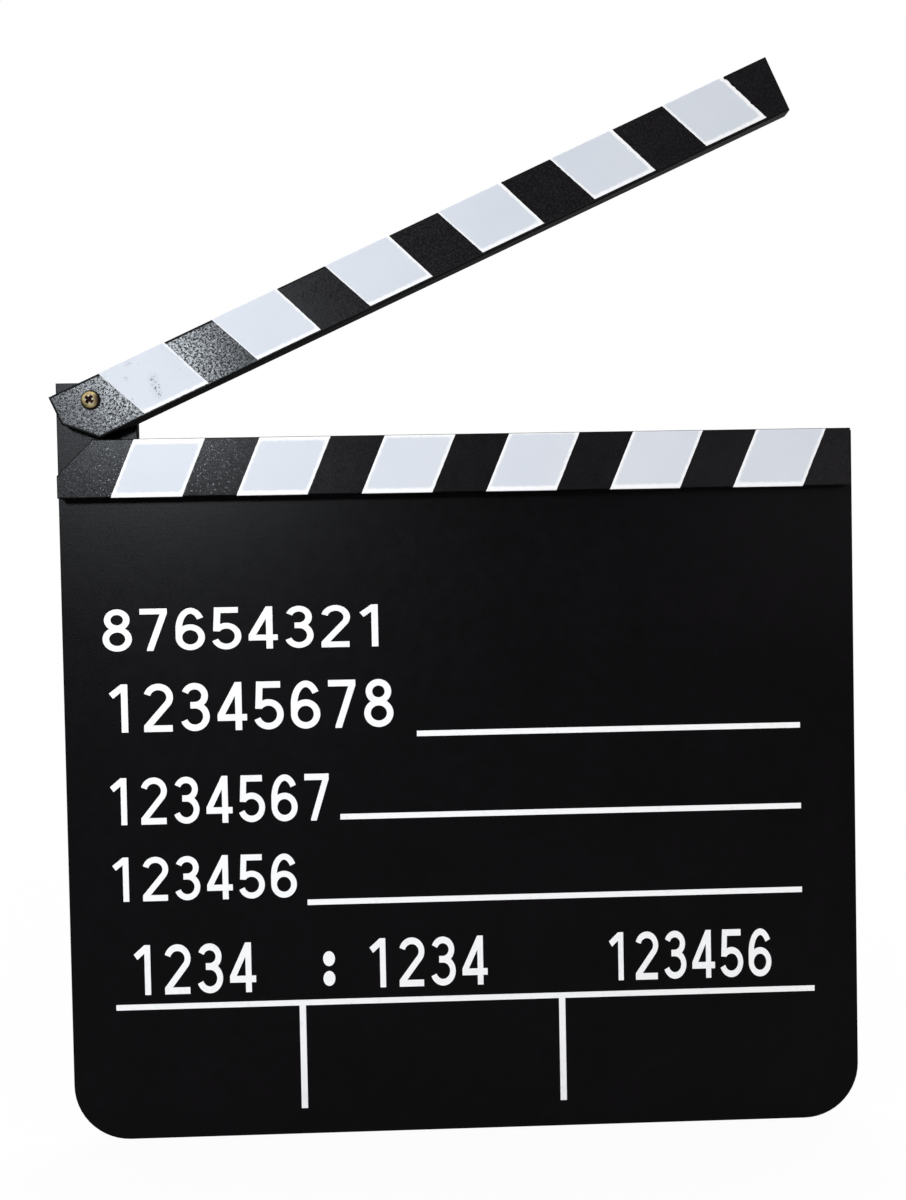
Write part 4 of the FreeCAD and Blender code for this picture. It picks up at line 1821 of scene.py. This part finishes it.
@dataclass
class Studio:
    """A pale floor, soft lamps, a white surround and the camera."""

    floor_reach: float = 4.0
    floor_white: Colour = (0.82, 0.82, 0.83)
    floor_shade_share: float = 0.985
    floor_cloud_mm: float = 300.0
    floor_cloud_levels: Flat = (0.4, 0.6)
    floor_roughness: float = 0.9
    floor_gloss: float = 0.12
    glow_span: Flat = (0.2, 0.8)
    glow_shares: Flat = (0.94, 1.0)
    lamps: tuple[Lamp, ...] = (
        Lamp("key_lamp", (-0.252, -0.455, 0.396), (-0.1, 0.0, 0.26), (0.1, 0.085), 1.02, (0.86, 0.932, 1.0)),
        Lamp("side_lamp", (0.33, -0.455, 0.29), (0.12, 0.0, 0.25), (0.20, 0.15), 0.065, (1.0, 0.93, 1.0)),
        Lamp("top_lamp", (0.1, 0.1, 1.5), (0.0, 0.0, 0.1), (1.2, 1.2), 7.0),
        Lamp("back_lamp", (0.85, 0.75, 0.30), (0.0, 0.0, 0.20), (0.7, 0.5), 5.0),
    )
    fill_strength: float = 0.735
    fill_tint: Colour = (1.0, 0.985, 0.965)
    front_gloss: float = 0.03
    gloss_span: Flat = (-0.5, 0.5)
    camera_place: Point = (-0.01157, -0.37993, 0.21000)
    camera_turn: Point = (1.55082, 0.01909, -0.02323)
    lens_mm: float = 30.0
    sensor_mm: float = 36.0
    near_clip: float = 0.01

    def build(self) -> None:
        """Set up the whole studio."""
        self.lay_floor()
        self.light_world()
        for lamp in self.lamps:
            lamp.hang()
        self.stand_camera()
        bpy.context.scene.view_settings.view_transform = "Standard"

    def lay_floor(self) -> None:
        """Lay the pale floor, which keeps a faint shadow and runs out into white."""
        mesh = bpy.data.meshes.new("floor")
        reach = self.floor_reach
        corners = [(-reach, -reach, 0.0), (reach, -reach, 0.0), (reach, reach, 0.0), (-reach, reach, 0.0)]
        mesh.from_pydata(corners, [], [(0, 1, 2, 3)])
        floor = bpy.data.objects.new("floor", mesh)
        bpy.context.scene.collection.objects.link(floor)
        dress(floor, self.floor_finish())

    def floor_finish(self) -> bpy.types.Material:
        """Make the floor's finish: pale to light, and nearly white to look at.

        Returns:
            The new material.
        """
        pen = NodePen("floor_pale")
        cloud = pen.remap(pen.noise(pen.place(), self.floor_cloud_mm), self.floor_cloud_levels)
        shade = tuple(level * self.floor_shade_share for level in self.floor_white)
        pen.set("Base Color", pen.mix(cloud, self.floor_white, shade))
        pen.set("Roughness", self.floor_roughness)
        pen.set("Specular IOR Level", 0.0)
        path = pen.add("ShaderNodeLightPath")
        straight = pen.math("MAXIMUM", path.outputs["Is Camera Ray"], path.outputs["Is Transmission Ray"])
        seen = pen.math("MAXIMUM", straight, path.outputs["Is Glossy Ray"])
        glow = pen.add("ShaderNodeEmission")
        pen.feed(glow.inputs["Strength"], pen.math("MAXIMUM", straight, self.floor_gloss))
        coords = pen.add("ShaderNodeTexCoord")
        distance = pen.vector("LENGTH", coords.outputs["Object"])
        share = pen.remap(distance.outputs["Value"], self.glow_span, self.glow_shares)
        blend = pen.add("ShaderNodeMixShader")
        pen.feed(blend.inputs["Fac"], pen.math("MULTIPLY", seen, share))
        pen.link(pen.shader.outputs["BSDF"], blend.inputs[1])
        pen.link(glow.outputs["Emission"], blend.inputs[2])
        pen.link(blend.outputs["Shader"], pen.output.inputs["Surface"])
        return pen.material

    def light_world(self) -> None:
        """Make the surround: white to look at, dim in front for gloss, plain for light."""
        world = bpy.data.worlds.new("surround")
        bpy.context.scene.world = world
        bench = NodeBench(world)
        path = bench.add("ShaderNodeLightPath")
        coords = bench.add("ShaderNodeTexCoord")
        backward = bench.parts(coords.outputs["Generated"])[1]
        gloss = bench.remap(backward, self.gloss_span, (self.front_gloss, 1.0))
        shown = bench.math("MAXIMUM", path.outputs["Is Camera Ray"], path.outputs["Is Glossy Ray"])
        seen = bench.math("MAXIMUM", shown, path.outputs["Is Transmission Ray"])
        backdrop = bench.add("ShaderNodeBackground")
        bench.feed(backdrop.inputs["Color"], (1.0, 1.0, 1.0, 1.0))
        bench.feed(backdrop.inputs["Strength"], bench.math("MAXIMUM", gloss, path.outputs["Is Camera Ray"]))
        fill = bench.add("ShaderNodeBackground")
        bench.feed(fill.inputs["Color"], (*self.fill_tint, 1.0))
        bench.feed(fill.inputs["Strength"], self.fill_strength)
        blend = bench.add("ShaderNodeMixShader")
        bench.feed(blend.inputs["Fac"], seen)
        bench.link(fill.outputs["Background"], blend.inputs[1])
        bench.link(backdrop.outputs["Background"], blend.inputs[2])
        output = bench.add("ShaderNodeOutputWorld")
        bench.link(blend.outputs["Shader"], output.inputs["Surface"])

    def stand_camera(self) -> None:
        """Stand the camera where the photograph was taken from."""
        data = bpy.data.cameras.new("camera")
        data.lens = self.lens_mm
        data.sensor_width = self.sensor_mm
        data.clip_start = self.near_clip
        camera = bpy.data.objects.new("camera", data)
        camera.location = self.camera_place
        camera.rotation_euler = self.camera_turn
        bpy.context.scene.collection.objects.link(camera)
        bpy.context.scene.camera = camera


def main() -> None:
    """Build every sub-assembly in order and report its pieces."""
    logging.basicConfig(level=logging.INFO, format="%(name)s: %(message)s")
    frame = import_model()
    nodes = frame["nodes"]
    datum = Datum.from_frame(frame)
    for assembly in (SlateBoard(), ClapSticks(), PivotFastener()):
        for piece in assembly.build(nodes, datum):
            LOG.info("%s: %s", type(assembly).__name__, piece.name)
    Studio().build()


if __name__ == "__main__":
    main()
